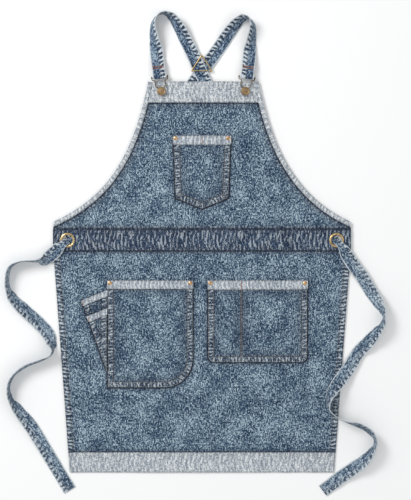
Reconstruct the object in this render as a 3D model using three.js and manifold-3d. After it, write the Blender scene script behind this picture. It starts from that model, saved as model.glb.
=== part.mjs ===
// Cross-back artist's smock apron in washed denim, lying face up on a flat surface.
// Millimetres, +Z up, +Y towards the shoulder straps. Left and right are as seen from the front.
// Heights along the body are counted from the waistband's top seam (y = 0) while the pieces are made,
// and the finished group is moved so that its origin is at the middle of the base.

import * as THREE from 'three';
import { mergeVertices } from 'three/addons/utils/BufferGeometryUtils.js';
import Module from 'manifold-3d';

const wasm = await Module();
wasm.setup();

// ---------------------------------------------------------------- driving dimensions

const gap = 0.3; // air between neighbouring pieces
const cloth = 0.8; // one layer of denim
const turnIn = 10; // seam allowance that a band or binding takes in

const strap = { width: 30, thickness: 1.8 };

const bib = { top: 332, topHalfWidth: 124, bandHeight: 47, lean: 3 };
const armhole = { width: 10.5, endHeight: 17 };
const waist = { halfWidth: 334, height: 48 };
const skirt = { length: 498, hemHalfWidth: 297, sideHem: 12, hemBand: 45, dropLength: 56 };

const pocketRoom = 5; // free height inside a pocket
const pocketSeam = 10; // width sewn down round a pocket
const bandProud = 0.8; // thickness of a pocket's mouth band

const bibPocket = { top: 210, half: 65, foot: 70, footHalf: 60, point: 45.5, band: 21 };
const leftPocket = { left: -212.5, right: -20, top: -114.5, bottom: -355.5, corner: 64, band: 20 };
const rightPocket = { left: 13, right: 237, top: -114.5, bottom: -299, corner: 14, band: 21, divider: 88.5 };
const toolPocket = { top: -136, slope: 0.4, width: 59, foot: -320, band: 15, tier: 41, tierInset: 13 };

const rivet = { head: 9.5, headHeight: 1.6, shank: 2.6, burr: 8.6, inset: 6 };
const eyelet = { inset: 32, flange: 33, hole: 24, wall: 0.7, dome: 1.5, washer: 0.8 };
const button = { x: 94, drop: 22.5, cap: 19.5, capHeight: 3.2, shank: 7, tackBase: 12, pin: 2.6 };
const hook = { wire: 2.2, barWidth: 38, barHeight: 9, barPin: 2.4, swing: 7 };
const ring = { halfBase: 25, height: 39, wire: 2.4, back: 0.9, post: 1.4, x: -0.5, base: 23 };

// ---------------------------------------------------------------- levels above the surface

const washerLevel = gap + strap.thickness + gap; // straps run flat beneath the bib
const bibLevel = washerLevel + eyelet.washer + gap; // underside of bands, bindings and waistband
const seamThickness = 3 * cloth + 2 * gap; // back layer, panel, front layer
const panelRise = cloth + gap; // panel's underside above the underside of a band
const bandTop = bibLevel + seamThickness;
const bibFace = bibLevel + panelRise + cloth;
const skirtFace = panelRise + cloth;
const loopRadius = hook.barPin / 2 + gap + strap.thickness; // strap sewn round the hook's bar
const coilRadius = hook.barPin / 2 + 0.4 + hook.wire / 2; // hook's wire coiled round its bar
const wireLevel = bandTop + 0.4 + Math.max(loopRadius, coilRadius + hook.wire / 2);
const capLevel = wireLevel + hook.wire / 2 + 0.4;
const hemY = -waist.height - skirt.length;
const barY = bib.top + hook.barHeight;
const buttonY = bib.top - button.drop;
const eyeletX = waist.halfWidth - eyelet.inset;
const eyeletY = -waist.height / 2;

// ---------------------------------------------------------------- materials

const finish = (color, roughness, metalness) =>
  new THREE.MeshStandardMaterial({ color, roughness, metalness });
const denim = () => finish(0x4a6688, 0.9, 0);
const paleDenim = () => finish(0xa9b0bb, 0.9, 0);
const brass = () => finish(0xb08d57, 0.35, 1);
const bronze = () => finish(0x5a5348, 0.4, 1);
const copper = () => finish(0xb5713f, 0.4, 1);

// ---------------------------------------------------------------- shaping helpers

const apron = new THREE.Group();

function part(name, geometry, material) {
  const mesh = new THREE.Mesh(geometry, material);
  mesh.name = name;
  apron.add(mesh);
}

function solid(geometry) {
  const bare = geometry.clone();
  bare.deleteAttribute('normal');
  bare.deleteAttribute('uv');
  const merged = mergeVertices(bare, 1e-4);
  const mesh = new wasm.Mesh({
    numProp: 3,
    vertProperties: new Float32Array(merged.attributes.position.array),
    triVerts: new Uint32Array(merged.index.array),
  });
  return new wasm.Manifold(mesh);
}

function surface(manifold) {
  const mesh = manifold.getMesh();
  const geometry = new THREE.BufferGeometry();
  geometry.setAttribute('position', new THREE.BufferAttribute(mesh.vertProperties, 3));
  geometry.setIndex(new THREE.BufferAttribute(mesh.triVerts, 1));
  return geometry;
}

function cut(geometry, tools) {
  return surface(tools.reduce((body, tool) => body.subtract(solid(tool)), solid(geometry)));
}

function join(geometries) {
  return surface(geometries.map(solid).reduce((body, next) => body.add(next)));
}

// A slab between two heights with a drawn outline.
function slab(outline, low, high) {
  const geometry = new THREE.ExtrudeGeometry(outline, {
    depth: high - low,
    bevelEnabled: false,
    curveSegments: 8,
  });
  return geometry.translate(0, 0, low);
}

function block(left, right, bottom, top, low, high) {
  const geometry = new THREE.BoxGeometry(right - left, top - bottom, high - low);
  return geometry.translate((left + right) / 2, (bottom + top) / 2, (low + high) / 2);
}

function polygon(points) {
  return new THREE.Shape(points.map(([x, y]) => new THREE.Vector2(x, y)));
}

// A turned piece about the vertical line through x, y; its profile lists radius and height.
function turned(profile, x, y, segments) {
  const points = profile.map(([radius, height]) => new THREE.Vector2(radius, height));
  return new THREE.LatheGeometry(points, segments).rotateX(Math.PI / 2).translate(x, y, 0);
}

function drill(x, y, diameter, low, high) {
  const geometry = new THREE.CylinderGeometry(diameter / 2, diameter / 2, high - low, 16);
  return geometry.rotateX(Math.PI / 2).translate(x, y, (low + high) / 2);
}

// A draped piece of cloth: a grid whose every crossing is placed by place(u, v, w), with u across,
// v along and w from the underside to the top, all from 0 to 1.
function draped(across, along, place) {
  const geometry = new THREE.BoxGeometry(1, 1, 1, across, along, 1);
  const position = geometry.attributes.position;
  for (let i = 0; i < position.count; i += 1) {
    const u = position.getX(i) + 0.5;
    const v = position.getY(i) + 0.5;
    const w = position.getZ(i) + 0.5;
    position.setXYZ(i, ...place(u, v, w));
  }
  return geometry;
}

const { lerp, smoothstep, degToRad } = THREE.MathUtils;

// The bib lies a little to the right of the skirt's centre line above the waist.
const lean = (y) => bib.lean * smoothstep(y, 0, bib.top / 3);
const buttonX = (side) => side * button.x + lean(buttonY);

// A strap that follows a list of stations [x, y, roll in degrees, height of what lies beneath].
// At roll 0 its outer face is up, at 90 it stands on its edge, and at 180 its inner face is up.
function strapPoint(line, stations, t) {
  const spot = t * (stations.length - 1);
  const index = Math.min(Math.floor(spot), stations.length - 2);
  const share = smoothstep(spot - index, 0, 1);
  const roll = degToRad(lerp(stations[index][2], stations[index + 1][2], share));
  const beneath = lerp(stations[index][3], stations[index + 1][3], share);
  const { x, y } = line.getPoint(t);
  const reach = (Math.abs(Math.sin(roll)) * strap.width + Math.abs(Math.cos(roll)) * strap.thickness) / 2;
  return { centre: new THREE.Vector3(x, y, beneath + gap + reach), roll };
}

function strapLine(stations) {
  const points = stations.map(([x, y]) => new THREE.Vector3(x, y, 0));
  return new THREE.CatmullRomCurve3(points, false, 'centripetal');
}

function strapRun(stations, first, last, steps, size = () => [strap.width, strap.thickness]) {
  const line = strapLine(stations);
  const share = (v) => lerp(first, last, v) / (stations.length - 1);
  const small = 1e-3;
  return draped(1, steps, (u, v, w) => {
    const t = share(v);
    const { centre, roll } = strapPoint(line, stations, t);
    const before = strapPoint(line, stations, Math.max(t - small, 0)).centre;
    const after = strapPoint(line, stations, Math.min(t + small, 1)).centre;
    const along = after.sub(before).normalize();
    const side = new THREE.Vector3(along.y, -along.x, 0).normalize();
    const up = new THREE.Vector3().crossVectors(side, along);
    const [width, thickness] = size(v);
    const edge = side.clone().multiplyScalar(Math.cos(roll)).addScaledVector(up, Math.sin(roll));
    const face = side.multiplyScalar(-Math.sin(roll)).addScaledVector(up, Math.cos(roll));
    centre.addScaledVector(edge, (u - 0.5) * width).addScaledVector(face, (w - 0.5) * thickness);
    return centre.toArray();
  });
}

// ---------------------------------------------------------------- bib

const runOut = 9; // the curve runs on past the waist's corner, where the binding is trimmed
const armholeCurve = new THREE.CubicBezierCurve(
  new THREE.Vector2(bib.topHalfWidth, bib.top),
  new THREE.Vector2(bib.topHalfWidth + 36, bib.top - 180),
  new THREE.Vector2(waist.halfWidth - 110, armhole.endHeight + 49),
  new THREE.Vector2(waist.halfWidth + runOut, armhole.endHeight - 0.45 * runOut),
);

// A point at a share of the armhole's length, inset from the edge towards the cloth.
function armholePoint(share, inset) {
  const point = armholeCurve.getPoint(share);
  const along = armholeCurve.getTangent(share);
  return new THREE.Vector2(point.x + along.y * inset, point.y - along.x * inset);
}

// Half the bib's width at a height, inset from its edge.
function bibHalf(y, inset) {
  let low = 0;
  let high = 1;
  for (let i = 0; i < 30; i += 1) {
    const middle = (low + high) / 2;
    if (armholePoint(middle, inset).y > y) {
      low = middle;
    } else {
      high = middle;
    }
  }
  return Math.min(armholePoint(low, inset).x, waist.halfWidth);
}

// The top band rises over the two crossed straps that run in beneath its middle.
const crossingRise = 2 * (strap.thickness + gap) + gap - bibLevel + 1.4;
const crossingX = -5;
function rise(x, y) {
  const across = 1 - smoothstep(Math.abs(x - crossingX), strap.width * 1.25, strap.width * 2.6);
  return crossingRise * across * smoothstep(y, bib.top - bib.bandHeight + turnIn, bib.top - 8);
}

const buttonHoles = [-1, 1].map((side) =>
  drill(buttonX(side), buttonY, button.pin + 4 * gap, 0, capLevel));

const panelInset = armhole.width - 6; // how far the panel's edge stays inside the armhole's edge
const panelSlack = 1;
const bibRows = 18;
const bibPanelTop = bib.top - bib.bandHeight + turnIn - gap;
const bibRowY = (v) => lerp(-turnIn + gap, bibPanelTop, Math.pow(v, 1.5));
const bibPanel = draped(2, bibRows, (u, v, w) => {
  const y = bibRowY(v);
  return [lean(y) + (2 * u - 1) * bibHalf(Math.max(y, 0), panelInset), y,
    bibLevel + panelRise + w * cloth];
});

function bandSlot(bottom, top, half) {
  return block(-half, half, bottom, top, bibLevel + cloth, bibLevel + cloth + 2 * gap + cloth);
}

const topBandBottom = bib.top - bib.bandHeight;
const topBand = draped(22, 6, (u, v, w) => {
  const y = lerp(topBandBottom, bib.top, v);
  const x = lean(y) + (2 * u - 1) * (bibHalf(y, armhole.width + gap));
  return [x, y, bibLevel + w * seamThickness + rise(x, y)];
});
part('bib_top_band', cut(topBand, [
  bandSlot(topBandBottom - turnIn, topBandBottom + turnIn, waist.halfWidth), ...buttonHoles,
]), paleDenim());

function binding(side) {
  const strip = (near, far, low, high) => draped(1, 26, (u, v, w) => {
    const point = armholePoint(side > 0 ? v : 1 - v, lerp(near, far, u));
    return [side * point.x + lean(point.y), point.y, lerp(low, high, w)];
  });
  const edge = strip(0, armhole.width, bibLevel, bandTop);
  const slot = strip(panelInset - panelSlack, armhole.width + 5, bibLevel + cloth, bandTop - cloth);
  const above = block(-waist.halfWidth - 60, waist.halfWidth + 60, bib.top, bib.top + 30, 0, 30);
  const beyond = side > 0
    ? block(waist.halfWidth, waist.halfWidth + 60, -60, 120, 0, 30)
    : block(-waist.halfWidth - 60, -waist.halfWidth, -60, 120, 0, 30);
  return cut(edge, [slot, above, beyond]);
}
part('armhole_binding_left', binding(-1), paleDenim());
part('armhole_binding_right', binding(1), paleDenim());

// ---------------------------------------------------------------- waistband and skirt

const eyeletHoles = [-1, 1].map((side) =>
  drill(side * eyeletX, eyeletY, eyelet.hole + 2 * (eyelet.wall + gap), 0, bandTop + 5));

part('waistband', cut(
  block(-waist.halfWidth - 0.7, waist.halfWidth + 0.7, -waist.height, -gap, bibLevel, bandTop),
  [
    bandSlot(-turnIn, turnIn, waist.halfWidth + 10),
    bandSlot(-waist.height - turnIn, -waist.height + turnIn, waist.halfWidth + 10),
    ...eyeletHoles,
  ],
), denim());

// The skirt comes down from the waistband's height to the surface.
const skirtLift = (y) => bibLevel * smoothstep(y, -waist.height - skirt.dropLength, -waist.height - 4);
const skirtHalf = (y) => lerp(waist.halfWidth, skirt.hemHalfWidth, (-waist.height - y) / skirt.length);

// Share of the skirt's width at each column: the side hems are turned under twice, so they are thicker.
const hemStep = 0.5;
function skirtColumn(index, half) {
  const flat = half - skirt.sideHem;
  const places = [-half, -flat - hemStep, -flat, 0, flat, flat + hemStep, half];
  return { x: places[index], hem: index < 2 || index > 4 };
}
const skirtRows = 15;
const skirtDropRows = 8;
const skirtTop = -waist.height + turnIn - gap;
const skirtFlat = -waist.height - skirt.dropLength;
const skirtFoot = hemY + skirt.hemBand - turnIn;
function skirtRowY(row) {
  if (row <= 1) {
    return lerp(skirtTop, -waist.height - gap, row);
  }
  return row <= skirtDropRows
    ? lerp(-waist.height - gap, skirtFlat, (row - 1) / (skirtDropRows - 1))
    : lerp(skirtFlat, skirtFoot, (row - skirtDropRows) / (skirtRows - skirtDropRows));
}
const hemEnd = hemY + skirt.hemBand + gap;
const skirtPanel = draped(6, skirtRows, (u, v, w) => {
  const y = skirtRowY(Math.round((1 - v) * skirtRows));
  const { x, hem } = skirtColumn(Math.round(u * 6), skirtHalf(Math.min(y, -waist.height)));
  const low = hem ? 0 : panelRise;
  const high = hem ? seamThickness : panelRise + cloth;
  return [x, y, skirtLift(y) + lerp(low, high, w)];
});

// At both ends the side hems stop where the waistband and the hem band take in the cloth.
const beyondSides = Math.max(waist.halfWidth, skirt.hemHalfWidth) + 60;
const aboveHems = (low, high, bottom, top) => block(-beyondSides, beyondSides, bottom, top, low, high);
const skirtTrim = [
  aboveHems(bibLevel - 5, bibLevel + panelRise, -waist.height - gap, skirtTop + 1),
  aboveHems(bibLevel + panelRise + cloth, bibLevel + 9, -waist.height - gap, skirtTop + 1),
  aboveHems(-1, panelRise, skirtFoot - 1, hemEnd),
  aboveHems(panelRise + cloth, 9, skirtFoot - 1, hemEnd),
];

function hemBand() {
  const outline = polygon([
    [-skirt.hemHalfWidth, hemY],
    [skirt.hemHalfWidth, hemY],
    [skirtHalf(hemY + skirt.hemBand), hemY + skirt.hemBand],
    [-skirtHalf(hemY + skirt.hemBand), hemY + skirt.hemBand],
  ]);
  const top = hemY + skirt.hemBand;
  const slot = block(-beyondSides, beyondSides, top - turnIn - gap, top + 1, cloth, seamThickness - cloth);
  return cut(slab(outline, 0, seamThickness), [slot]);
}
part('bottom_hem_band', hemBand(), paleDenim());

// ---------------------------------------------------------------- pockets

// A patch pocket: front layer and sewn edge, open at its mouth and towards the cloth behind it.
function pocketShell(outline, room, level) {
  const hollow = room.map((shape) => slab(shape, level - 1, level + pocketRoom));
  return cut(slab(outline, level, level + pocketRoom + cloth), hollow);
}

const bibPocketLevel = bibFace + gap;
const skirtPocketLevel = skirtFace + gap;
const mouthLevel = (level) => level + pocketRoom + cloth + gap;

function drillsFor(spots) {
  return spots.map(([x, y]) => drill(x, y, rivet.shank + 2 * gap, 0, 40));
}

const bibPocketRivets = [-1, 1].map((side) =>
  [side * (bibPocket.half - rivet.inset), bibPocket.top - rivet.inset]);
const bibPocketOutline = polygon([
  [-bibPocket.half, bibPocket.top],
  [-bibPocket.footHalf, bibPocket.foot],
  [0, bibPocket.point],
  [bibPocket.footHalf, bibPocket.foot],
  [bibPocket.half, bibPocket.top],
]);
const bibPocketRoom = polygon([
  [-bibPocket.half + pocketSeam, bibPocket.top + 1],
  [-bibPocket.footHalf + pocketSeam, bibPocket.foot + pocketSeam / 2],
  [0, bibPocket.point + pocketSeam],
  [bibPocket.footHalf - pocketSeam, bibPocket.foot + pocketSeam / 2],
  [bibPocket.half - pocketSeam, bibPocket.top + 1],
]);
part('bib_panel', cut(bibPanel, drillsFor(bibPocketRivets)), denim());
part('bib_pocket', cut(
  pocketShell(bibPocketOutline, [bibPocketRoom], bibPocketLevel),
  drillsFor(bibPocketRivets),
), denim());
part('bib_pocket_band', cut(
  block(-bibPocket.half, bibPocket.half, bibPocket.top - bibPocket.band, bibPocket.top,
    mouthLevel(bibPocketLevel), mouthLevel(bibPocketLevel) + bandProud),
  drillsFor(bibPocketRivets),
), paleDenim());

function cornerRivets(pocket) {
  return [pocket.left + rivet.inset, pocket.right - rivet.inset].map((x) => [x, pocket.top - rivet.inset]);
}

// Outline of a skirt pocket with its lower right corner rounded, and the left one too if asked.
function skirtPocketOutline(pocket, inset, rounded, rise) {
  const left = pocket.left + inset;
  const right = pocket.right - inset;
  const bottom = pocket.bottom + inset;
  const radius = pocket.corner - inset;
  const outline = new THREE.Shape();
  outline.moveTo(left, pocket.top + rise);
  outline.lineTo(left, rounded ? bottom + radius : bottom);
  if (rounded) {
    outline.absarc(left + radius, bottom + radius, radius, Math.PI, 1.5 * Math.PI, false);
  }
  outline.lineTo(right - radius, bottom);
  outline.absarc(right - radius, bottom + radius, radius, 1.5 * Math.PI, 2 * Math.PI, false);
  outline.lineTo(right, pocket.top + rise);
  return outline;
}

function mouthBand(pocket, spots) {
  const low = mouthLevel(skirtPocketLevel);
  const strip = block(pocket.left, pocket.right, pocket.top - pocket.band, pocket.top, low, low + bandProud);
  return cut(strip, drillsFor(spots));
}

const leftRivets = cornerRivets(leftPocket);
part('left_pocket', cut(
  pocketShell(
    skirtPocketOutline(leftPocket, 0, false, 0),
    [skirtPocketOutline(leftPocket, pocketSeam, false, 1)],
    skirtPocketLevel,
  ),
  drillsFor(leftRivets),
), denim());
part('left_pocket_band', mouthBand(leftPocket, leftRivets), paleDenim());

const rightRivets = cornerRivets(rightPocket);
const dividerHalf = 2;
const rightRooms = [
  { ...rightPocket, right: rightPocket.divider - dividerHalf + pocketSeam },
  { ...rightPocket, left: rightPocket.divider + dividerHalf - pocketSeam },
];
part('right_pocket', cut(
  pocketShell(
    skirtPocketOutline(rightPocket, 0, true, 0),
    rightRooms.map((room) => skirtPocketOutline(room, pocketSeam, true, 1)),
    skirtPocketLevel,
  ),
  drillsFor(rightRivets),
), denim());
part('right_pocket_band', mouthBand(rightPocket, rightRivets), paleDenim());

part('skirt_panel', cut(skirtPanel, [...skirtTrim, ...drillsFor([...leftRivets, ...rightRivets])]), denim());

// The tool pocket's two tiers narrow to a point beside the left pocket; the lower tier lies on the upper.
const toolRight = leftPocket.left - gap;
function toolTier(drop, inset) {
  const width = toolPocket.width - inset;
  const innerTop = toolPocket.top - drop;
  const outerTop = innerTop - width * toolPocket.slope;
  const seam = 5;
  const lean = width / (outerTop - toolPocket.foot);
  const outline = polygon([
    [toolRight, innerTop],
    [toolRight - width, outerTop],
    [toolRight - 1, toolPocket.foot],
    [toolRight, toolPocket.foot],
  ]);
  const room = polygon([
    [toolRight - seam, innerTop + 20],
    [toolRight - width + seam, outerTop + 20],
    [toolRight - width + seam, outerTop],
    [toolRight - seam - 1, outerTop - (width - 2 * seam) / lean],
    [toolRight - seam, outerTop - (width - 2 * seam) / lean],
  ]);
  const band = polygon([
    [toolRight, innerTop],
    [toolRight - width, outerTop],
    [toolRight - width + toolPocket.band * lean, outerTop - toolPocket.band],
    [toolRight, innerTop - toolPocket.band],
  ]);
  return { outline, room, band };
}
const tiers = [
  { name: 'tool_pocket_upper', level: skirtPocketLevel, shape: toolTier(0, 0) },
  {
    name: 'tool_pocket_lower',
    level: mouthLevel(skirtPocketLevel) + bandProud + gap,
    shape: toolTier(toolPocket.tier, toolPocket.tierInset),
  },
];
for (const { name, level, shape } of tiers) {
  part(name, pocketShell(shape.outline, [shape.room], level), denim());
  part(`${name}_band`, slab(shape.band, mouthLevel(level), mouthLevel(level) + bandProud), paleDenim());
}

// ---------------------------------------------------------------- rivets

// A domed head and its shank through the cloth; the burr sits round the shank's end at the back.
function rivetAt(name, [x, y], mouth, back) {
  const seat = mouth + bandProud + gap;
  const head = rivet.head / 2;
  const shank = rivet.shank / 2;
  part(`${name}_rivet`, turned([
    [0, back], [shank, back], [shank, seat], [head, seat], [head, seat + 0.5],
    [head * 0.6, seat + rivet.headHeight], [0, seat + rivet.headHeight],
  ], x, y, 14), copper());
  part(`${name}_burr`, turned([
    [shank + gap, back], [rivet.burr / 2, back], [rivet.burr / 2, back + 0.7],
    [shank + gap, back + 0.7], [shank + gap, back],
  ], x, y, 14), copper());
}
const rivetSets = [
  { name: 'bib_pocket', spots: bibPocketRivets, level: bibPocketLevel, back: bibLevel },
  { name: 'left_pocket', spots: leftRivets, level: skirtPocketLevel, back: 0.1 },
  { name: 'right_pocket', spots: rightRivets, level: skirtPocketLevel, back: 0.1 },
];
for (const { name, spots, level, back } of rivetSets) {
  spots.forEach((spot, i) => rivetAt(`${name}_${i ? 'right' : 'left'}`, spot, mouthLevel(level), back));
}

// ---------------------------------------------------------------- eyelets

function eyeletParts(side, name) {
  const bore = eyelet.hole / 2;
  const barrel = bore + eyelet.wall;
  const outer = eyelet.flange / 2;
  const seat = bandTop + gap;
  part(`eyelet_${name}`, turned([
    [bore, washerLevel], [barrel, washerLevel], [barrel, seat], [outer, seat], [outer, seat + 0.4],
    [(bore + outer) / 2, seat + eyelet.dome], [bore, seat + 0.7], [bore, washerLevel],
  ], side * eyeletX, eyeletY, 28), brass());
  part(`eyelet_washer_${name}`, turned([
    [barrel + gap, washerLevel], [outer - 1, washerLevel], [outer - 1, washerLevel + eyelet.washer],
    [barrel + gap, washerLevel + eyelet.washer], [barrel + gap, washerLevel],
  ], side * eyeletX, eyeletY, 28), brass());
}
eyeletParts(-1, 'left');
eyeletParts(1, 'right');

// ---------------------------------------------------------------- buttons and hooks

function buttonParts(side, name) {
  const x = buttonX(side);
  const cap = button.cap / 2;
  const shank = button.shank / 2;
  const pin = button.pin / 2;
  const bore = pin + gap;
  const top = capLevel + button.capHeight;
  part(`button_${name}`, turned([
    [0, capLevel], [bore, capLevel], [bore, bandTop + gap], [shank, bandTop + gap], [shank, capLevel],
    [cap, capLevel], [cap, top - 1], [cap - 1.4, top], [cap * 0.6, top - 0.4], [0, top - 0.2],
  ], x, buttonY, 24), brass());
  const base = bibLevel - gap - 0.8;
  part(`button_tack_${name}`, turned([
    [0, base], [button.tackBase / 2, base], [button.tackBase / 2, base + 0.8], [pin, base + 0.8],
    [pin, capLevel - gap], [0, capLevel - gap],
  ], x, buttonY, 16), brass());
}

// The wire hook: a coil round each end of the bar, shoulders, a bulb that passes over the button's cap
// and a narrow slot that holds its shank. Points are from the middle of the bar.
function hookWire() {
  const coil = coilRadius;
  const bulb = button.cap / 2 + 0.5 + hook.wire / 2;
  const slot = button.shank / 2 + 0.4 + hook.wire / 2;
  const slotEnd = -(barY - buttonY);
  const bulbCentre = -(loopRadius + 0.5 + bulb);
  const neck = Math.asin(slot / bulb);
  const coilX = hook.barWidth / 2 - hook.wire / 2;
  const shoulderY = -(loopRadius + gap + hook.wire / 2 + 0.8);
  const half = [
    [coilX + 0.4, 0.55 * coil, 0.84 * coil],
    [coilX + 0.3, coil, 0],
    [coilX + 0.1, 0.5 * coil, -0.87 * coil],
    [coilX, -0.6 * coil, -0.8 * coil],
    [coilX - 1, shoulderY + 0.8, -0.4],
    [coilX - 3.5, shoulderY, 0],
    [bulb + 0.8, shoulderY - 0.7, 0],
    [bulb, shoulderY - 3.4, 0],
    [bulb, bulbCentre, 0],
    [bulb * 0.87, bulbCentre - bulb * 0.5, 0],
    [slot + 0.6, bulbCentre - bulb * Math.cos(neck) + 0.6, 0],
    [slot, bulbCentre - bulb * Math.cos(neck) - 2, 0],
    [slot, slotEnd, 0],
    [slot * 0.7, slotEnd - slot * 0.7, 0],
  ];
  const other = half.map(([x, y, z]) => [-x, y, z]).reverse();
  const points = [...half, [0, slotEnd - slot, 0], ...other].map((p) => new THREE.Vector3(...p));
  const path = new THREE.CatmullRomCurve3(points, false, 'centripetal');
  const section = new THREE.Shape().absarc(0, 0, hook.wire / 2, 0, 2 * Math.PI, false);
  return new THREE.ExtrudeGeometry(section, { steps: 60, extrudePath: path, curveSegments: 4 });
}

// The hook and the strap's end swing outwards a little about the button; geometry is given from the bar.
function swung(geometry, side) {
  const placed = geometry.translate(0, barY - buttonY, wireLevel).rotateZ(-side * degToRad(hook.swing));
  return placed.translate(buttonX(side), buttonY, 0);
}

function hookParts(side, name) {
  part(`hook_${name}`, swung(hookWire(), side), bronze());
  const pin = new THREE.CylinderGeometry(hook.barPin / 2, hook.barPin / 2, hook.barWidth, 12);
  part(`hook_bar_${name}`, swung(pin.rotateZ(Math.PI / 2), side), bronze());
}

// The strap's end goes round the bar and is sewn back on itself.
const strapEndLength = 24;
function strapEnd(side, name) {
  const outer = loopRadius;
  const inner = loopRadius - strap.thickness;
  const outline = new THREE.Shape();
  outline.moveTo(0, outer);
  outline.absarc(0, 0, outer, Math.PI / 2, 1.5 * Math.PI, false);
  outline.lineTo(strapEndLength, -strap.thickness);
  outline.lineTo(strapEndLength, strap.thickness);
  const eye = new THREE.Path().absarc(0, 0, inner, 0, 2 * Math.PI, false);
  outline.holes.push(eye);
  const body = new THREE.ExtrudeGeometry(outline, { depth: strap.width, bevelEnabled: false, curveSegments: 8 });
  body.translate(0, 0, -strap.width / 2).rotateX(Math.PI / 2).rotateZ(Math.PI / 2);
  part(`strap_end_${name}`, swung(body, side), denim());
}
for (const [side, name] of [[-1, 'left'], [1, 'right']]) {
  buttonParts(side, name);
  hookParts(side, name);
  strapEnd(side, name);
}

// ---------------------------------------------------------------- shoulder straps

const barBase = wireLevel - strap.thickness / 2 - gap; // beneath a flat strap level with the bar
const under = strap.thickness + gap; // one strap lies on another
const crossLow = ring.back + 2 * gap;
const crossHigh = crossLow + under;
const edgeLow = 0.6; // at the bib's top edge
const edgeHigh = edgeLow + under + 0.7;
const seamStart = strapEndLength + 2.5;

// Stations from the sewn end up to the fold at the shoulder, back down to the crossing, in beneath the
// bib and across to the other side's eyelet. Heights are from the bib's top edge or from the eyelet.
const top = bib.top;
function strapStart(side) {
  const reach = barY - buttonY + seamStart;
  const swing = degToRad(hook.swing);
  return [buttonX(side) + side * reach * Math.sin(swing), buttonY + reach * Math.cos(swing)];
}
const leftStrap = [
  [...strapStart(-1), 0, barBase],
  [-100.5, top + 53, 0, barBase - 4],
  [-103, top + 74, 14, 2],
  [-107, top + 96, 46, 0],
  [-110, top + 124, 66, 0],
  [-104, top + 143, 78, 0],
  [-91, top + 152, 88, 0],
  [-79, top + 151, 100, 0],
  [-66.5, top + 143, 124, 0],
  [-51, top + 121, 146, 0],
  [-36, top + 92, 162, 0],
  [-18.5, top + 57, 180, crossHigh],
  [-6, top + 28, 180, crossHigh],
  [7.5, top, 180, edgeHigh],
  [21, top - 32, 180, 1],
  [40, top - 75, 180, 0],
  [75, top - 130, 180, 0],
  [120, top - 195, 180, 0],
  [190, top - 280, 180, 0],
  [eyeletX - 50, eyeletY + 28, 180, 0],
  [eyeletX, eyeletY, 180, 0],
];
const rightStrap = [
  [...strapStart(1), 0, barBase],
  [106, top + 53, 0, barBase - 4],
  [107.5, top + 70, -14, 2],
  [110.5, top + 90, -42, 0],
  [114, top + 118, -58, 0],
  [111, top + 134, -72, 0],
  [103, top + 142, -90, 0],
  [91, top + 141, -118, 0],
  [75, top + 127, -144, 0],
  [58, top + 105, -164, 0],
  [39.5, top + 78, -180, 0],
  [18, top + 47, -180, crossLow],
  [-2, top + 20, -180, crossLow],
  [-17, top, -180, edgeLow],
  [-36, top - 30, -180, 0],
  [-58, top - 75, -180, 0],
  [-86, top - 130, -180, 0],
  [-126, top - 195, -180, 0],
  [-192, top - 280, -180, 0],
  [-eyeletX + 50, eyeletY + 28, -180, 0],
  [-eyeletX, eyeletY, -180, 0],
];
const splitStation = 13; // the station at the bib's top edge
const splitShare = 0.02; // air between the two runs, as a share of the stretch after that station
for (const [name, stations] of [['left', leftStrap], ['right', rightStrap]]) {
  part(`shoulder_strap_${name}`, strapRun(stations, 0, splitStation, 64), denim());
  part(`back_strap_${name}`, strapRun(stations, splitStation + splitShare, stations.length - 1, 24), denim());
}

// ---------------------------------------------------------------- crossing ring

// A flat triangle with a triangular window; its two halves clasp the crossed straps.
function triangle(half, height, low, high) {
  const window = ring.wire * 1.9;
  const outline = polygon([[-half, 0], [half, 0], [0, height]]);
  const hole = [[-half + window * 1.1, ring.wire], [0, height - window * 1.35], [half - window * 1.1, ring.wire]];
  outline.holes.push(new THREE.Path(hole.map(([x, y]) => new THREE.Vector2(x, y))));
  return slab(outline, low, high).translate(ring.x, top + ring.base, 0);
}
function crossingRing() {
  const frontLow = crossHigh + strap.thickness + 2 * gap;
  const posts = [[-ring.halfBase + 1.6, 1.1], [ring.halfBase - 1.6, 1.1], [0, ring.height - 2.6]];
  return join([
    triangle(ring.halfBase, ring.height, gap, gap + ring.back),
    triangle(ring.halfBase, ring.height, frontLow, frontLow + ring.wire),
    ...posts.map(([x, y]) => drill(ring.x + x, top + ring.base + y, ring.post, gap + 0.2, frontLow + 1)),
  ]);
}
part('crossing_ring', crossingRing(), brass());

// ---------------------------------------------------------------- waist ties

// Each tie comes up through its eyelet, bunched, and lies free beside the apron. Places are from the eyelet.
const flangeTop = bandTop + gap + eyelet.dome;
const eyeletFloor = washerLevel - gap;
const leftTie = [
  [0, 0, 0, eyeletFloor + 0.6],
  [-8, -8, 0, flangeTop + 1.5],
  [-18, -17, 0, flangeTop + 0.6],
  [-34, -32, 10, bandTop + 1],
  [-50, -44, 35, 1],
  [-68, -47, 80, 0],
  [-104, -48, 88, 0],
  [-127, -60, 84, 0],
  [-134, -85, 82, 0],
  [-132, -109, 76, 0],
  [-121, -131, 50, 0],
  [-94, -159, 24, 0],
  [-69, -182, 14, 0],
  [-45, -208, 16, 0],
  [-35, -231, 50, 0],
  [-32, -246, 86, 0],
  [-37, -258, 88, 0],
  [-59, -269, 80, 0],
  [-94, -283, 78, 0],
  [-121, -305, 84, 0],
  [-131, -329, 86, 0],
  [-126, -357, 78, 0],
  [-109, -381, 48, 0],
  [-81, -419, 18, 0],
  [-55, -462, 6, 0],
  [-23, -516, 0, 0],
  [5, -562, 0, 0],
];
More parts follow.
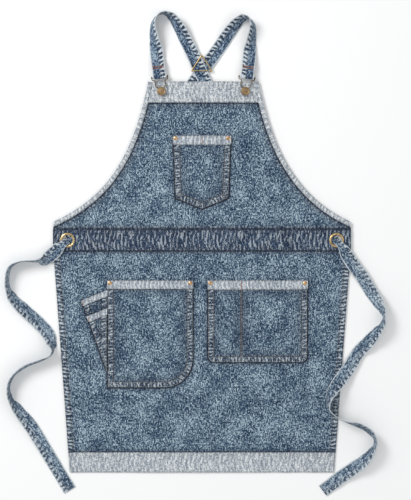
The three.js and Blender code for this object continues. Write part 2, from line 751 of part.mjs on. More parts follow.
const rightTie = [
  [0, 0, 0, eyeletFloor + 0.6],
  [7, -9, 0, flangeTop + 1.5],
  [15, -20, 0, flangeTop + 0.6],
  [26, -38, 0, bandTop],
  [41, -60, 0, bandTop],
  [56, -80, -8, 3],
  [78, -116, -14, 0],
  [92, -138, -36, 0],
  [102, -157, -66, 0],
  [106, -173, -86, 0],
  [102, -190, -74, 0],
  [88, -208, -50, 0],
  [72, -228, -24, 0],
  [50, -252, -6, 0],
  [29, -286, -4, seamThickness],
  [7, -316, -18, seamThickness],
  [-11, -340, -50, seamThickness],
  [-19, -362, -80, seamThickness],
  [-18, -378, -88, seamThickness],
  [-8, -390, -86, seamThickness],
  [12, -403, -84, seamThickness],
  [48, -414, -66, 0],
  [74, -429, -66, 0],
  [86, -447, -82, 0],
  [85, -461, -84, 0],
  [76, -477, -66, 0],
  [59, -497, -40, 0],
  [35, -515, -18, 0],
  [9, -534, -6, 0],
  [-30, -564, 0, 0],
];
const bunch = { width: 16, thickness: 2.4, length: 0.1 };
const tieSize = (v) => {
  const open = smoothstep(v, bunch.length * 0.4, bunch.length);
  return [lerp(bunch.width, strap.width, open), lerp(bunch.thickness, strap.thickness, open)];
};
for (const [side, name, route] of [[-1, 'left', leftTie], [1, 'right', rightTie]]) {
  const stations = route.map(([x, y, roll, beneath]) => [side * eyeletX + x, eyeletY + y, roll, beneath]);
  part(`tie_${name}`, strapRun(stations, 0, stations.length - 1, 78, tieSize), denim());
}

// ---------------------------------------------------------------- origin at the middle of the base

const shoulderLine = strapLine(leftStrap);
const shoulderTop = Math.max(...Array.from({ length: 65 }, (unused, i) =>
  shoulderLine.getPoint((i / 64) * (splitStation / (leftStrap.length - 1))).y)) + strap.thickness / 2;
apron.position.y = -(shoulderTop + hemY) / 2;

export default apron;
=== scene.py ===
import math

import bmesh
import bpy
import numpy as np
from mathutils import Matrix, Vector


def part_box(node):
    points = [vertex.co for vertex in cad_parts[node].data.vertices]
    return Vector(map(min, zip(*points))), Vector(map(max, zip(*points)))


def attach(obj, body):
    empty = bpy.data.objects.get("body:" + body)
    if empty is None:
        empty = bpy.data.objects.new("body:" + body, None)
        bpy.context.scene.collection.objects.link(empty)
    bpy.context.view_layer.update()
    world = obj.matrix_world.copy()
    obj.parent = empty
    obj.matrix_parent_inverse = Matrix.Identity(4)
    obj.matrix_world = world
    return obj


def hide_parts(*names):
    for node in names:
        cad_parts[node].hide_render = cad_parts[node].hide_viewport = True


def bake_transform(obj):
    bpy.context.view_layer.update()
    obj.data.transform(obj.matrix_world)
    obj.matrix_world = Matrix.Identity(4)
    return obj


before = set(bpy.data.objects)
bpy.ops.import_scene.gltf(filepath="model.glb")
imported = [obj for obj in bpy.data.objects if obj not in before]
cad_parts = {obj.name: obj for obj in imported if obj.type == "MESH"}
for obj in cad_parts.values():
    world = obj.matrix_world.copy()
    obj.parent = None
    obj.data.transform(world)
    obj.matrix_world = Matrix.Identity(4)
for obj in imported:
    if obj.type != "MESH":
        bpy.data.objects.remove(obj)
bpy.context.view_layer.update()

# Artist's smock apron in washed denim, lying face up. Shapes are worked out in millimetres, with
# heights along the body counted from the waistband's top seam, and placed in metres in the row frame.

MM = 0.001
GAP = 0.3  # between one piece and the next, in millimetres as all that follow
SEAM_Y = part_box("waistband")[1].y / MM + GAP  # the waistband's top seam in the row frame


def row(points):
    """Millimetres from the waistband's top seam to metres in the row frame."""
    return (np.asarray(points, float) + [0, SEAM_Y, 0]) * MM


# ------------------------------------------------------------------ driving dimensions

CLOTH = 0.8
GRID, BAND_GRID = 3.4, 2.4  # spacing of the cloth meshes
STRAP_WIDTH, STRAP_THICK = 30, 1.8
EDGE_ROW = 12.1  # from a strap's middle to the stitches along its edges
ROPING = 9.5  # from one pucker to the next along straps and bindings
CAP_RADIUS = 9.75  # of the jeans buttons
SHANK_RADIUS = 3.5
BIB_TOP, BIB_HALF, BIB_BAND, BIB_LEAN = 332, 124, 47, 3
BINDING, ARMHOLE_LENGTH = 10.5, 395
WAIST_HALF, WAIST_HEIGHT = 334, 48
SKIRT_LENGTH, HEM_HALF, SIDE_HEM, HEM_BAND, DROP = 498, 297, 12, 45, 56
HEM_Y = -WAIST_HEIGHT - SKIRT_LENGTH
BIB_LEVEL = 3.5  # underside of the bib, its bands and the waistband
SEAM_THICK = 3.0
BAND_TOP = BIB_LEVEL + SEAM_THICK
BIB_FACE = BIB_LEVEL + GAP + 2 * CLOTH
SKIRT_FACE = GAP + 2 * CLOTH
ROOM = 5  # free height inside a pocket
EYELET_X, EYELET_Y = WAIST_HALF - 32, -WAIST_HEIGHT / 2
EYELET_BORE, EYELET_RIM, EYELET_HOLE = 12.0, 16.5, 14.2  # radii of the brass and of the hole in the cloth
BUTTON_Y = BIB_TOP - 22.5
BAR_Y = BIB_TOP + 9
SWING = math.radians(7)
WIRE_LEVEL, CAP_LEVEL = 10.7, 12.2
LOOP_RADIUS, BAR_RADIUS, WIRE = 3.3, 1.2, 2.2

BIB_POCKET = {"top": 210, "half": 65, "foot": 70, "foot_half": 60, "point": 45.5, "band": 21}
LEFT_POCKET = {"left": -212.5, "right": -20, "top": -114.5, "bottom": -355.5, "corner": 64, "band": 20}
RIGHT_POCKET = {"left": 13, "right": 237, "top": -114.5, "bottom": -299, "corner": 14, "band": 21}
DIVIDER = 88.5
TOOL_POCKET = {"top": -136, "slope": 0.4, "width": 59, "foot": -320, "band": 15, "tier": 41, "inset": 13}
RIVET_INSET = 6
POCKET_SEAM = 13.5  # width of a pocket's turned and topstitched margin

SIDES = {"left": -1, "right": 1}


# ------------------------------------------------------------------ numbers along and across

def ease(value, low=0.0, high=1.0):
    share = np.clip((np.asarray(value, float) - low) / (high - low), 0, 1)
    return share * share * (3 - 2 * share)


def mix(a, b, share):
    return a + (b - a) * share


def wander(t, pitch, seed):
    """Smooth noise from -1 to 1 along a line."""
    table = np.random.default_rng(seed).uniform(-1, 1, 512)
    spot = np.asarray(t, float) / pitch
    whole = np.floor(spot).astype(int)
    return mix(table[whole % 512], table[(whole + 1) % 512], ease(spot - whole))


def ripple(x, y, pitch, seed):
    """Smooth noise from -1 to 1 over a surface."""
    table = np.random.default_rng(seed).uniform(-1, 1, (128, 128))
    a, b = np.asarray(x, float) / pitch, np.asarray(y, float) / pitch
    i, j = np.floor(a).astype(int), np.floor(b).astype(int)
    s, t = ease(a - i), ease(b - j)
    low = mix(table[i % 128, j % 128], table[(i + 1) % 128, j % 128], s)
    high = mix(table[i % 128, (j + 1) % 128], table[(i + 1) % 128, (j + 1) % 128], s)
    return mix(low, high, t)


def nearest(x, y, lines):
    """Distance to the nearest of some lines, and how far along it that point is."""
    best = np.full(np.shape(x), 1e6)
    along = np.zeros(np.shape(x))
    for line in lines:
        start = 0.0
        for (ax, ay), (bx, by) in zip(line[:-1], line[1:]):
            length = math.hypot(bx - ax, by - ay)
            share = np.clip(((x - ax) * (bx - ax) + (y - ay) * (by - ay)) / length**2, 0, 1)
            away = np.hypot(x - ax - share * (bx - ax), y - ay - share * (by - ay))
            closer = away < best
            best = np.where(closer, away, best)
            along = np.where(closer, start + share * length, along)
            start += length
    return best, along


def smooth_line(stations, spots):
    """Points at station numbers along a centripetal Catmull-Rom line through the stations."""
    points = np.asarray(stations, float)
    first, last = 2 * points[0] - points[1], 2 * points[-1] - points[-2]
    points = np.concatenate([[first], points, [last]])
    index = np.minimum(np.floor(spots).astype(int), len(points) - 4)
    share = (spots - index)[:, None]
    p0, p1, p2, p3 = (points[index + k] for k in range(4))
    pairs = (p0, p1), (p1, p2), (p2, p3)
    d0, d1, d2 = (np.maximum(np.sqrt(np.linalg.norm(b - a, axis=1)), 1e-4)[:, None] for a, b in pairs)
    m1 = ((p1 - p0) / d0 - (p2 - p0) / (d0 + d1) + (p2 - p1) / d1) * d1
    m2 = ((p2 - p1) / d1 - (p3 - p1) / (d1 + d2) + (p3 - p2) / d2) * d1
    square, cube = share**2, share**3
    return (p1 + m1 * share + (3 * (p2 - p1) - 2 * m1 - m2) * square
            + (2 * (p1 - p2) + m1 + m2) * cube)


def lengths(points):
    """How far along a line each of its points is."""
    return np.concatenate([[0], np.cumsum(np.linalg.norm(np.diff(points, axis=0), axis=1))])


# ------------------------------------------------------------------ shaders

def srgb(*channels):
    """A colour given from 0 to 255 as a linear colour."""
    linear = [c / 255 / 12.92 if c < 10.3 else ((c / 255 + 0.055) / 1.055) ** 2.4 for c in channels]
    return (*linear, 1)


class Shader:
    """A material whose nodes are made in the order they are read."""

    def __init__(self, name):
        self.material = bpy.data.materials.new(name)
        self.material.use_nodes = True
        self.tree = self.material.node_tree
        self.surface = self.tree.nodes["Principled BSDF"]

    def set(self, node, inputs):
        for key, value in inputs.items():
            if isinstance(value, bpy.types.NodeSocket):
                self.tree.links.new(value, node.inputs[key])
            else:
                node.inputs[key].default_value = value

    def node(self, kind, inputs, output=0, **settings):
        node = self.tree.nodes.new("ShaderNode" + kind)
        for key, value in settings.items():
            setattr(node, key, value)
        self.set(node, inputs)
        return node.outputs[output]

    def value(self, name):
        return self.node("Attribute", {}, output=2, attribute_name=name)

    def vector(self, name):
        return self.node("Attribute", {}, output=1, attribute_name=name)

    def math(self, operation, *values):
        return self.node("Math", dict(enumerate(values)), operation=operation)

    def plus(self, a, b):
        return self.math("ADD", a, b)

    def times(self, a, b):
        return self.math("MULTIPLY", a, b)

    def noise(self, vector, stretch, detail=3, rough=0.6, skew=0.0, swirl=0.0):
        """Noise whose grain is stretch millimetres across, along and through the cloth."""
        scaled = self.node("Mapping", {
            "Vector": vector, "Scale": tuple(1 / s for s in stretch), "Rotation": (0, 0, skew)})
        return self.node("TexNoise", {
            "Vector": scaled, "Scale": 1.0, "Detail": detail, "Roughness": rough, "Distortion": swirl})

    def between(self, value, low, high, start=0.0, end=1.0):
        return self.node("MapRange", {
            "Value": value, "From Min": low, "From Max": high, "To Min": start, "To Max": end,
        }, interpolation_type="SMOOTHSTEP")

    def ramp(self, value, stops):
        socket = self.node("ValToRGB", {"Fac": value})
        elements = socket.node.color_ramp.elements
        while len(elements) < len(stops):
            elements.new(0.5)
        for element, (place, colour) in zip(elements, stops):
            element.position = place
            element.color = colour
        return socket

    def blend(self, share, a, b):
        return self.node("Mix", {0: share, 6: a, 7: b}, output=2, data_type="RGBA")

    def bump(self, height, strength, distance, below=None):
        inputs = {"Height": height, "Strength": strength, "Distance": distance}
        if below:
            inputs["Normal"] = below
        return self.node("Bump", inputs)


NAVY = srgb(30, 43, 64)
INK = srgb(18, 27, 44)
FADED = srgb(208, 216, 221)
GREY = srgb(122, 132, 146)
WHITE = srgb(233, 236, 237)


def denim(name, tones, pitch, rope, reach, shade, light, dusk=(0.0, 1.0), ditch=0.0, rim=(0.0, 1.0),
          low=NAVY, high=FADED, length=15, rhythm=0.085, speckle=0.45, creases=0.0, piping=0.0,
          level=False):
    """Acid-washed denim: wispy flecks over soft clouds, puckers across its seams, and a twill.

    tones run from the darkest to the palest and pitch is the length of one pucker. Streaks of low and
    high colour, as strong as shade and light, cross the seam over the rope's width and fade over reach;
    rhythm makes them even and speckle breaks them up. dusk, strength and reach, darkens the cloth along
    the seam. ditch is the dark line at the rope's inner side and rim, strength and width, the one at the
    edge. piping pales a strap's two edges. On a level band the streaks run straight from edge to edge."""
    s = Shader(name)
    weave, seam, along = s.vector("weave"), s.value("seam"), s.value("along")
    cloud = s.noise(weave, (40, 52, 30), detail=3, rough=0.55)
    wash = s.noise(weave, (6, 8, 9), detail=4, rough=0.7)
    flecks = s.noise(weave, (2.4, 3.6, 9), detail=4, rough=0.72, swirl=0.5)
    slub = s.noise(weave, (1.9, 13, 9), detail=3, rough=0.6, skew=0.12)
    tone = s.times(cloud, 0.12)
    for part, share in ((wash, 0.14), (flecks, 0.55), (slub, 0.19)):
        tone = s.plus(tone, s.times(part, share))
    spread = 0.052
    places = [0.5 + spread * step for step in (-1, -0.3, 0.35, 1.05)]
    colour = s.ramp(tone, list(zip(places, tones)))

    # Puckers run across the seam, pale on their crests and dark in their valleys.
    cross = weave if level else s.node("CombineXYZ", {"X": along, "Y": seam})
    streaks = s.noise(cross, (pitch * 0.45, length, 1), detail=3, rough=0.62, swirl=0.15)
    uneven = s.noise(weave, (14, 14, 9), detail=2)
    turns = s.plus(s.math("DIVIDE", along, pitch), s.times(uneven, 1.5))
    wave = s.math("SINE", s.times(s.plus(turns, s.times(seam, 0.03)), 2 * math.pi))
    field = s.plus(streaks, s.times(wave, rhythm))
    field = s.plus(field, s.times(s.math("SUBTRACT", flecks, 0.5), speckle))
    near = s.between(seam, rope * 0.9, rope + reach, 1, 0)
    valley = s.times(s.between(field, 0.5, 0.39, 0, shade), near)
    crest = s.times(s.between(field, 0.51, 0.62, 0, light), near)
    colour = s.blend(s.between(seam, rope * 0.6, rope + dusk[1], dusk[0], 0), colour, NAVY)
    colour = s.blend(valley, colour, low)
    colour = s.blend(crest, colour, high)

    # Painted shadow: the cloth beside a sewn-on piece darkens broadly, with a dark line just outside the
    # piece, and the very edge gets a dark line. The ditch at the inner stitches is drawn as a dark line
    # too.
    halo = s.value("halo")
    colour = s.blend(s.between(halo, 1, 14, 0.35, 0), colour, NAVY)
    colour = s.blend(s.between(halo, 1.2, 3.4, 0.9, 0), colour, INK)
    patchy_line = s.between(slub, 0.38, 0.6, 1, 0.55)
    if ditch:
        away = s.math("ABSOLUTE", s.math("SUBTRACT", seam, rope))
        colour = s.blend(s.times(s.between(away, 0.6, 1.9, ditch, 0), patchy_line), colour, INK)
    # Painted shadow: a dark line along the very edge of the cloth, broken into patches.
    if rim[0]:
        line = s.between(seam, rim[1] * 0.5, rim[1], rim[0], 0)
        colour = s.blend(s.times(line, patchy_line), colour, INK)
    if piping:
        edge = s.math("MINIMUM", seam, s.math("SUBTRACT", STRAP_WIDTH, seam))
        line = s.between(edge, 1.3, 2.5, piping, 0)
        colour = s.blend(s.times(line, s.between(flecks, 0.25, 0.5)), colour, high)

    # The twill's fine diagonal lines show in the colour as well as in the relief.
    slanted = s.node("Mapping", {"Vector": weave, "Rotation": (0, 0, math.radians(-63))})
    twill = s.node("TexWave", {"Vector": slanted, "Scale": 0.24, "Distortion": 0.8, "Detail": 1.0,
                               "Detail Scale": 2.0}, output=1)
    colour = s.blend(s.between(twill, 0.5, 0.1, 0, 0.24), colour, low)
    thread = s.noise(weave, (0.5, 1.3, 2), detail=2)
    cloth = s.bump(s.plus(twill, thread), 0.35, 0.0003)
    fold = s.plus(s.times(field, s.times(near, 2.5)), s.times(flecks, 0.7))
    normal = s.bump(fold, 0.6, 0.0007, cloth)
    if creases:
        wrinkle = s.noise(weave, (13, 34, 20), detail=3, rough=0.5, swirl=0.8)
        normal = s.bump(wrinkle, creases, 0.006, normal)
    rough = s.between(flecks, 0.3, 0.7, 0.82, 0.95)
    s.set(s.surface, {"Base Color": colour, "Roughness": rough, "Normal": normal,
                      "Sheen Weight": 0.08, "Sheen Roughness": 0.5, "Specular IOR Level": 0.22})
    return s.material


def thread_shader(name, dark, pale):
    s = Shader(name)
    weave = s.vector("weave")
    tone = s.noise(weave, (3, 3, 3), detail=2)
    ply = s.node("TexWave", {"Vector": weave, "Scale": 0.9, "Distortion": 0.5}, output=1)
    s.set(s.surface, {"Base Color": s.ramp(tone, [(0.3, dark), (0.7, pale)]), "Roughness": 0.7,
                      "Normal": s.bump(ply, 0.4, 0.0001), "Specular IOR Level": 0.35})
    return s.material


def metal(name, colour, dark, roughness, brushed=(3, 3, 3)):
    """Plated metal with patches of tarnish, fine scratches and a slightly uneven skin."""
    s = Shader(name)
    weave = s.node("TexCoord", {}, output=3)
    place = s.node("Mapping", {"Vector": weave, "Scale": (1000, 1000, 1000)})
    tarnish = s.noise(place, (4, 4, 4), detail=4, rough=0.65)
    scratch = s.noise(place, brushed, detail=3, rough=0.7)
    s.set(s.surface, {
        "Base Color": s.ramp(tarnish, [(0.36, dark), (0.6, colour)]),
        "Metallic": 1.0,
        "Roughness": s.between(scratch, 0.3, 0.7, roughness - 0.08, roughness + 0.14),
        "Normal": s.bump(scratch, 0.25, 0.0001),
    })
    return s.material


BODY_TONES = [srgb(16, 32, 55), srgb(46, 70, 97), srgb(97, 123, 143), srgb(186, 204, 212)]
DARK_TONES = [srgb(14, 26, 46), srgb(24, 40, 66), srgb(44, 64, 90), srgb(98, 120, 142)]
PALE_TONES = [srgb(120, 128, 138), srgb(154, 161, 168), srgb(186, 192, 196), srgb(224, 228, 229)]
MOUTH_TONES = [srgb(112, 122, 134), srgb(142, 152, 161), srgb(170, 178, 184), srgb(208, 213, 216)]
STRAP_TONES = [srgb(18, 32, 54), srgb(44, 66, 94), srgb(88, 112, 136), srgb(164, 182, 196)]
TIE_TONES = [srgb(30, 46, 68), srgb(66, 88, 112), srgb(112, 134, 152), srgb(186, 200, 210)]

BODY = denim("body_denim", BODY_TONES, pitch=8.5, rope=SIDE_HEM, reach=5, shade=0.65, light=0.8,
             dusk=(0.3, 16), ditch=0.7, rim=(0.6, 1.4), rhythm=0.13)
BIB = denim("bib_denim", BODY_TONES, pitch=9, rope=3, reach=10, shade=0.3, light=0.35,
            dusk=(0.5, 20), rim=(1.0, 5.4))
POCKET = denim("pocket_denim", BODY_TONES, pitch=7.5, rope=POCKET_SEAM, reach=4, shade=0.6, light=0.72,
               dusk=(0.55, 30), ditch=1.0, rim=(1.0, 2.6), rhythm=0.07, speckle=0.8, creases=0.4)
WAIST = denim("waistband_denim", DARK_TONES, pitch=9, rope=24, reach=6, shade=0.65, light=0.5,
              rim=(0.95, 3.2), length=22, rhythm=0.07, speckle=0.5, level=True)
PALE = denim("pale_denim", PALE_TONES, pitch=10, rope=24, reach=6, shade=0.5, light=0.6,
             low=GREY, high=WHITE, rim=(0.4, 1.2), length=20, rhythm=0.08, speckle=0.5, level=True)
MOUTH = denim("pocket_band_denim", MOUTH_TONES, pitch=9, rope=24, reach=6, shade=0.6, light=0.55,
              low=GREY, high=WHITE, rim=(0.75, 1.7), length=16, rhythm=0.1, level=True)
STRAP = denim("strap_denim", STRAP_TONES, pitch=10, rope=11, reach=3, shade=0.75, light=0.95,
              ditch=0.5, length=8, rhythm=0.24, speckle=0.22, piping=0.95)
TIE = denim("tie_denim", TIE_TONES, pitch=11, rope=9, reach=5, shade=0.55, light=0.8,
            ditch=0.4, length=8, rhythm=0.15, speckle=0.35, piping=0.9)
THREAD = thread_shader("grey_thread", srgb(122, 124, 124), srgb(178, 176, 170))
NAVY_THREAD = thread_shader("navy_thread", srgb(62, 70, 86), srgb(112, 118, 126))
TACK = thread_shader("tack_thread", srgb(150, 92, 54), srgb(196, 138, 94))
BRASS = metal("brass", srgb(226, 200, 150), srgb(150, 122, 78), 0.3)
ANTIQUE = metal("antique_brass", srgb(158, 134, 102), srgb(134, 111, 80), 0.45, brushed=(0.6, 7, 3))
COPPER = metal("copper", srgb(212, 178, 136), srgb(160, 126, 90), 0.38)
BRONZE = metal("bronze_wire", srgb(128, 114, 96), srgb(58, 50, 42), 0.34)


# ------------------------------------------------------------------ mesh building

FAR = 99.0


class Piece:
    """A mesh that keeps marks for the shaders: each point's place in the weave, its distance from the
    nearest seam, how far along that seam it is, and its distance from a piece that is sewn on."""

    def __init__(self):
        self.points, self.faces, self.marks = [], [], []
        self.slots, self.shaders = [], []
        self.count = 0

    def add(self, points, faces, shader, marks=None, caps=()):
        points = np.asarray(points, float).reshape(-1, 3)
        if marks is None:
            marks = np.column_stack([points, np.zeros((len(points), 2))])
        marks = np.reshape(marks, (len(points), -1))
        if marks.shape[1] == 5:
            marks = np.column_stack([marks, np.full(len(points), FAR)])
        if shader not in self.shaders:
            self.shaders.append(shader)
        self.points.append(points)
        self.marks.append(marks)
        self.faces += (np.asarray(faces) + self.count).tolist()
        self.faces += [[index + self.count for index in cap] for cap in caps]
        self.slots += [self.shaders.index(shader)] * (len(faces) + len(caps))
        self.count += len(points)

    def make(self, name, slot, *nodes, sharp=62, weld=False):
        mesh = bpy.data.meshes.new(name)
        mesh.from_pydata(row(np.concatenate(self.points)).tolist(), [], self.faces)
        marks = np.concatenate(self.marks)
        weave = mesh.attributes.new("weave", "FLOAT_VECTOR", "POINT")
        weave.data.foreach_set("vector", marks[:, :3].astype(np.float32).ravel())
        for column, key in ((3, "seam"), (4, "along"), (5, "halo")):
            field = mesh.attributes.new(key, "FLOAT", "POINT")
            field.data.foreach_set("value", marks[:, column].astype(np.float32))
        for shader in self.shaders:
            mesh.materials.append(shader)
        mesh.polygons.foreach_set("material_index", self.slots)
        mesh.polygons.foreach_set("use_smooth", [True] * len(mesh.polygons))
        shape = bmesh.new()
        shape.from_mesh(mesh)
        if weld:
            bmesh.ops.remove_doubles(shape, verts=shape.verts, dist=1e-7)
        bmesh.ops.recalc_face_normals(shape, faces=shape.faces)
        shape.to_mesh(mesh)
        shape.free()
        mesh.set_sharp_from_angle(angle=math.radians(sharp))
        piece = bpy.data.objects.new(name, mesh)
        bpy.context.scene.collection.objects.link(piece)
        if nodes:
            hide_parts(*nodes)
        return piece

    def ride(self, body, name, slot, *nodes, sharp=62, weld=False):
        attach(self.make(name, slot, *nodes, sharp=sharp, weld=weld), body)


def blanket(piece, x, y, low, high, seam, along, shader, keep=None, weave=None, halo=None):
    """A closed layer of cloth over a grid of places, walled round its rim and round any hole in it."""
    across, length = x.shape
    if keep is None:
        keep = np.ones((across - 1, length - 1), bool)
    index = np.arange(across * length).reshape(across, length)
    under = index + across * length
    i, j = np.nonzero(keep)
    faces = [np.stack([index[i, j], index[i + 1, j], index[i + 1, j + 1], index[i, j + 1]], 1),
             np.stack([under[i, j], under[i, j + 1], under[i + 1, j + 1], under[i + 1, j]], 1)]
    padded = np.pad(keep, 1)
    rim = np.zeros(x.shape, bool)
    for di, dj, a, b in ((-1, 0, (0, 0), (0, 1)), (1, 0, (1, 0), (1, 1)),
                         (0, -1, (0, 0), (1, 0)), (0, 1, (0, 1), (1, 1))):
        edge = padded[1:-1, 1:-1] & ~padded[1 + di:across + di, 1 + dj:length + dj]
        i, j = np.nonzero(edge)
        first, last = (i + a[0], j + a[1]), (i + b[0], j + b[1])
        rim[first] = rim[last] = True
        faces.append(np.stack([index[first], index[last], under[last], under[first]], 1))
    thick = high - low
    high = np.where(rim, high - 0.22 * thick, high)
    low = np.where(rim, low + 0.12 * thick, low)
    grain = (x, y) if weave is None else weave
    points = np.concatenate([np.stack([x, y, h], -1).reshape(-1, 3) for h in (high, low)])
    halo = np.full(x.shape, FAR) if halo is None else halo
    marks = np.stack([grain[0], grain[1], np.zeros_like(x), seam, along, halo], -1).reshape(-1, 6)
    used = np.zeros(2 * across * length, bool)
    quads = np.concatenate(faces)
    used[quads.ravel()] = True
    number = np.cumsum(used) - 1
    turned = marks.copy()  # the weave runs on round the layer's edge
    turned[:, :2] += thick.reshape(-1, 1)
    piece.add(points[used], number[quads], shader, np.concatenate([marks, turned])[used])


def ring_faces(rings, sides, closed=False):
    """Quads joining rings of points, each with the next and, when closed, the last with the first."""
    i, j = np.meshgrid(np.arange(rings if closed else rings - 1), np.arange(sides), indexing="ij")
    after, beside = (i + 1) % rings * sides, (j + 1) % sides
    return np.stack([i * sides + j, after + j, after + beside, i * sides + beside], -1).reshape(-1, 4)


def end_caps(rings, sides):
    last = (rings - 1) * sides
    return [list(range(sides)), list(range(last, last + sides))[::-1]]


def stitches(piece, line, shader=THREAD, pitch=3.3, width=0.85, height=0.38, out=None):
    """A row of lens-shaped stitches along a line, let into cloth that faces up or along out."""
    line = np.asarray(line, float)
    if len(line) < 3:
        return
    out = np.tile([0, 0, 1.0], (len(line), 1)) if out is None else out
    run = lengths(line)
    count = int(run[-1] / pitch)
    if not count:
        return

    def at(field, spots):
        return np.stack([np.interp(spots, run, field[:, k]) for k in range(3)], 1)

    starts = (np.arange(count) + 0.12) * pitch
    rings = []
    for place, size in ((0, 0.25), (0.35, 1), (0.65, 1), (1, 0.25)):
        spots = starts + place * pitch * 0.76
        up = at(out, spots)
        up /= np.linalg.norm(up, axis=1, keepdims=True)
        side = np.cross(at(line, spots + 0.4) - at(line, spots - 0.4), up)
        side /= np.maximum(np.linalg.norm(side, axis=1, keepdims=True), 1e-9)
        for across, high in ((-1, 0), (0, 1), (1, 0), (0, -0.6)):
            rings.append(at(line, spots) + (side * across * width / 2 + up * high * height) * size)
    quads = np.concatenate([ring_faces(4, 4), [[3, 2, 1, 0], [12, 13, 14, 15]]])
    faces = (quads[None] + 16 * np.arange(count)[:, None, None]).reshape(-1, 4)
    piece.add(np.stack(rings, 1), faces, shader)


def bar_tack(piece, centre, bar, length, half, height):
    """Close zigzag stitching: short threads side by side along a bar."""
    thread = np.array([-bar[1], bar[0], 0])
    for spot in np.arange(-length / 2, length / 2, 0.62):
        line = [centre + bar * spot + thread * end for end in (-half, 0, half)]
        stitches(piece, line, TACK, pitch=1.94 * half, width=0.6, height=height)


def inside_line(line, distance, step=1.5):
    """A line of close points, moved sideways to its left as it runs."""
    line = np.asarray(line, float)
    run = lengths(line)
    at = np.linspace(0, run[-1], max(2, int(run[-1] / step)))
    points = np.stack([np.interp(at, run, line[:, k]) for k in range(2)], 1)
    ahead = np.gradient(points, axis=0)
    ahead /= np.maximum(np.linalg.norm(ahead, axis=1, keepdims=True), 1e-9)
    return points + np.stack([-ahead[:, 1], ahead[:, 0]], 1) * distance


def sew(piece, line, distances, height, shader=THREAD, trim=1.0):
    """Rows of stitches beside a line, their ends cut back by a share of their distance from it."""
    for distance in distances:
        cut = max(1, int(abs(distance) * trim / 1.5))
        path = inside_line(line, distance)[cut:-cut]
        stitches(piece, np.column_stack([path, height(path[:, 0], path[:, 1]) + 0.12]), shader)


# ------------------------------------------------------------------ the apron's outline and levels

def lean(y):
    return BIB_LEAN * ease(y, 0, BIB_TOP / 3)


def button_place(side):
    return side * 94 + lean(BUTTON_Y), BUTTON_Y


ARMHOLE = np.array([
    (BIB_HALF, BIB_TOP), (BIB_HALF + 36, BIB_TOP - 180),
    (WAIST_HALF - 110, 66), (WAIST_HALF + 9, 12.95),
])


def armhole(share, inset):
    """A point at a share of the armhole's length, inset from the edge towards the cloth."""
    t = np.asarray(share, float)[..., None]
    a, b, c, d = ARMHOLE
    point = a * (1 - t)**3 + 3 * b * t * (1 - t)**2 + 3 * c * t**2 * (1 - t) + d * t**3
    ahead = (b - a) * (1 - t)**2 + 2 * (c - b) * t * (1 - t) + (d - c) * t**2
    ahead /= np.linalg.norm(ahead, axis=-1, keepdims=True)
    inset = np.asarray(inset, float)
    return point[..., 0] + ahead[..., 1] * inset, point[..., 1] - ahead[..., 0] * inset


ARM_SHARES = np.linspace(0, 1, 400)


def bib_half(y, inset):
    x, height = armhole(ARM_SHARES, inset)
    return np.minimum(np.interp(-np.asarray(y, float), -height, x), WAIST_HALF)


def arm_end(inset):
    """The share of the armhole at which it reaches the waist's corner."""
    x, _ = armhole(ARM_SHARES, inset)
    return float(np.interp(WAIST_HALF, x, ARM_SHARES))


def top_rise(x, y):
    """The top band rises over the two crossed straps that run in beneath its middle."""
    across = 1 - ease(np.abs(x + 5), STRAP_WIDTH * 1.25, STRAP_WIDTH * 2.6)
    return 2.4 * across * ease(y, BIB_TOP - BIB_BAND + 10, BIB_TOP - 8)


def skirt_lift(y):
    return BIB_LEVEL * ease(y, -WAIST_HEIGHT - DROP, -WAIST_HEIGHT - 4)


def skirt_half(y):
    return mix(WAIST_HALF, HEM_HALF, (-WAIST_HEIGHT - y) / SKIRT_LENGTH)


def pocket_rivets(left, right, top):
    return [(left + RIVET_INSET, top - RIVET_INSET), (right - RIVET_INSET, top - RIVET_INSET)]


RIVETS = {
    "bib_pocket": pocket_rivets(-BIB_POCKET["half"], BIB_POCKET["half"], BIB_POCKET["top"]),
    "left_pocket": pocket_rivets(LEFT_POCKET["left"], LEFT_POCKET["right"], LEFT_POCKET["top"]),
    "right_pocket": pocket_rivets(RIGHT_POCKET["left"], RIGHT_POCKET["right"], RIGHT_POCKET["top"]),
}
FASTENED = [spot for spots in RIVETS.values() for spot in spots]
FASTENED += [button_place(side) for side in SIDES.values()]
FASTENED += [(side * EYELET_X, EYELET_Y) for side in SIDES.values()]


def ground(x, y):
    """How much the cloth stands off the surface in its soft, shallow waves. Fastenings hold it flat."""
    broad, fine = ripple(x, y, 92, 3), ripple(x + y * 0.35, y * 0.5, 34, 5)
    waves = 1.5 * (0.5 + 0.5 * broad) + 0.8 * (0.5 + 0.5 * fine)
    for fx, fy in FASTENED:
        waves = waves * ease(np.hypot(x - fx, y - fy), 10, 42)
    return waves


def puckers(along, seam, pitch, reach, seed):
    """Ridges across a seam, which die away from it."""
    turns = along / pitch + 0.7 * wander(along, pitch * 2.3, seed) + seam * 0.02
    size = 0.65 + 0.35 * wander(along, pitch * 1.7, seed + 1)
    return np.sin(turns * 2 * np.pi) * size * np.exp(-seam / reach)


def grid(across, length, place):
    u, v = np.meshgrid(np.linspace(0, 1, across), np.linspace(0, 1, length), indexing="ij")
    return place(u, v)


def steps(size, spacing=GRID):
    return max(4, int(round(size / spacing)) + 1)


# ------------------------------------------------------------------ camera

def make_camera():
    """Straight above, as the apron was laid out for its picture."""
    height, seen = 2.6, 1.125
    data = bpy.data.cameras.new("camera")
    data.lens = data.sensor_width * height / seen
    camera = bpy.data.objects.new("camera", data)
    camera.location = (0.0079, -0.0158, height)
    bpy.context.scene.collection.objects.link(camera)
    bpy.context.scene.camera = camera


make_camera()


# ------------------------------------------------------------------ straps and ties

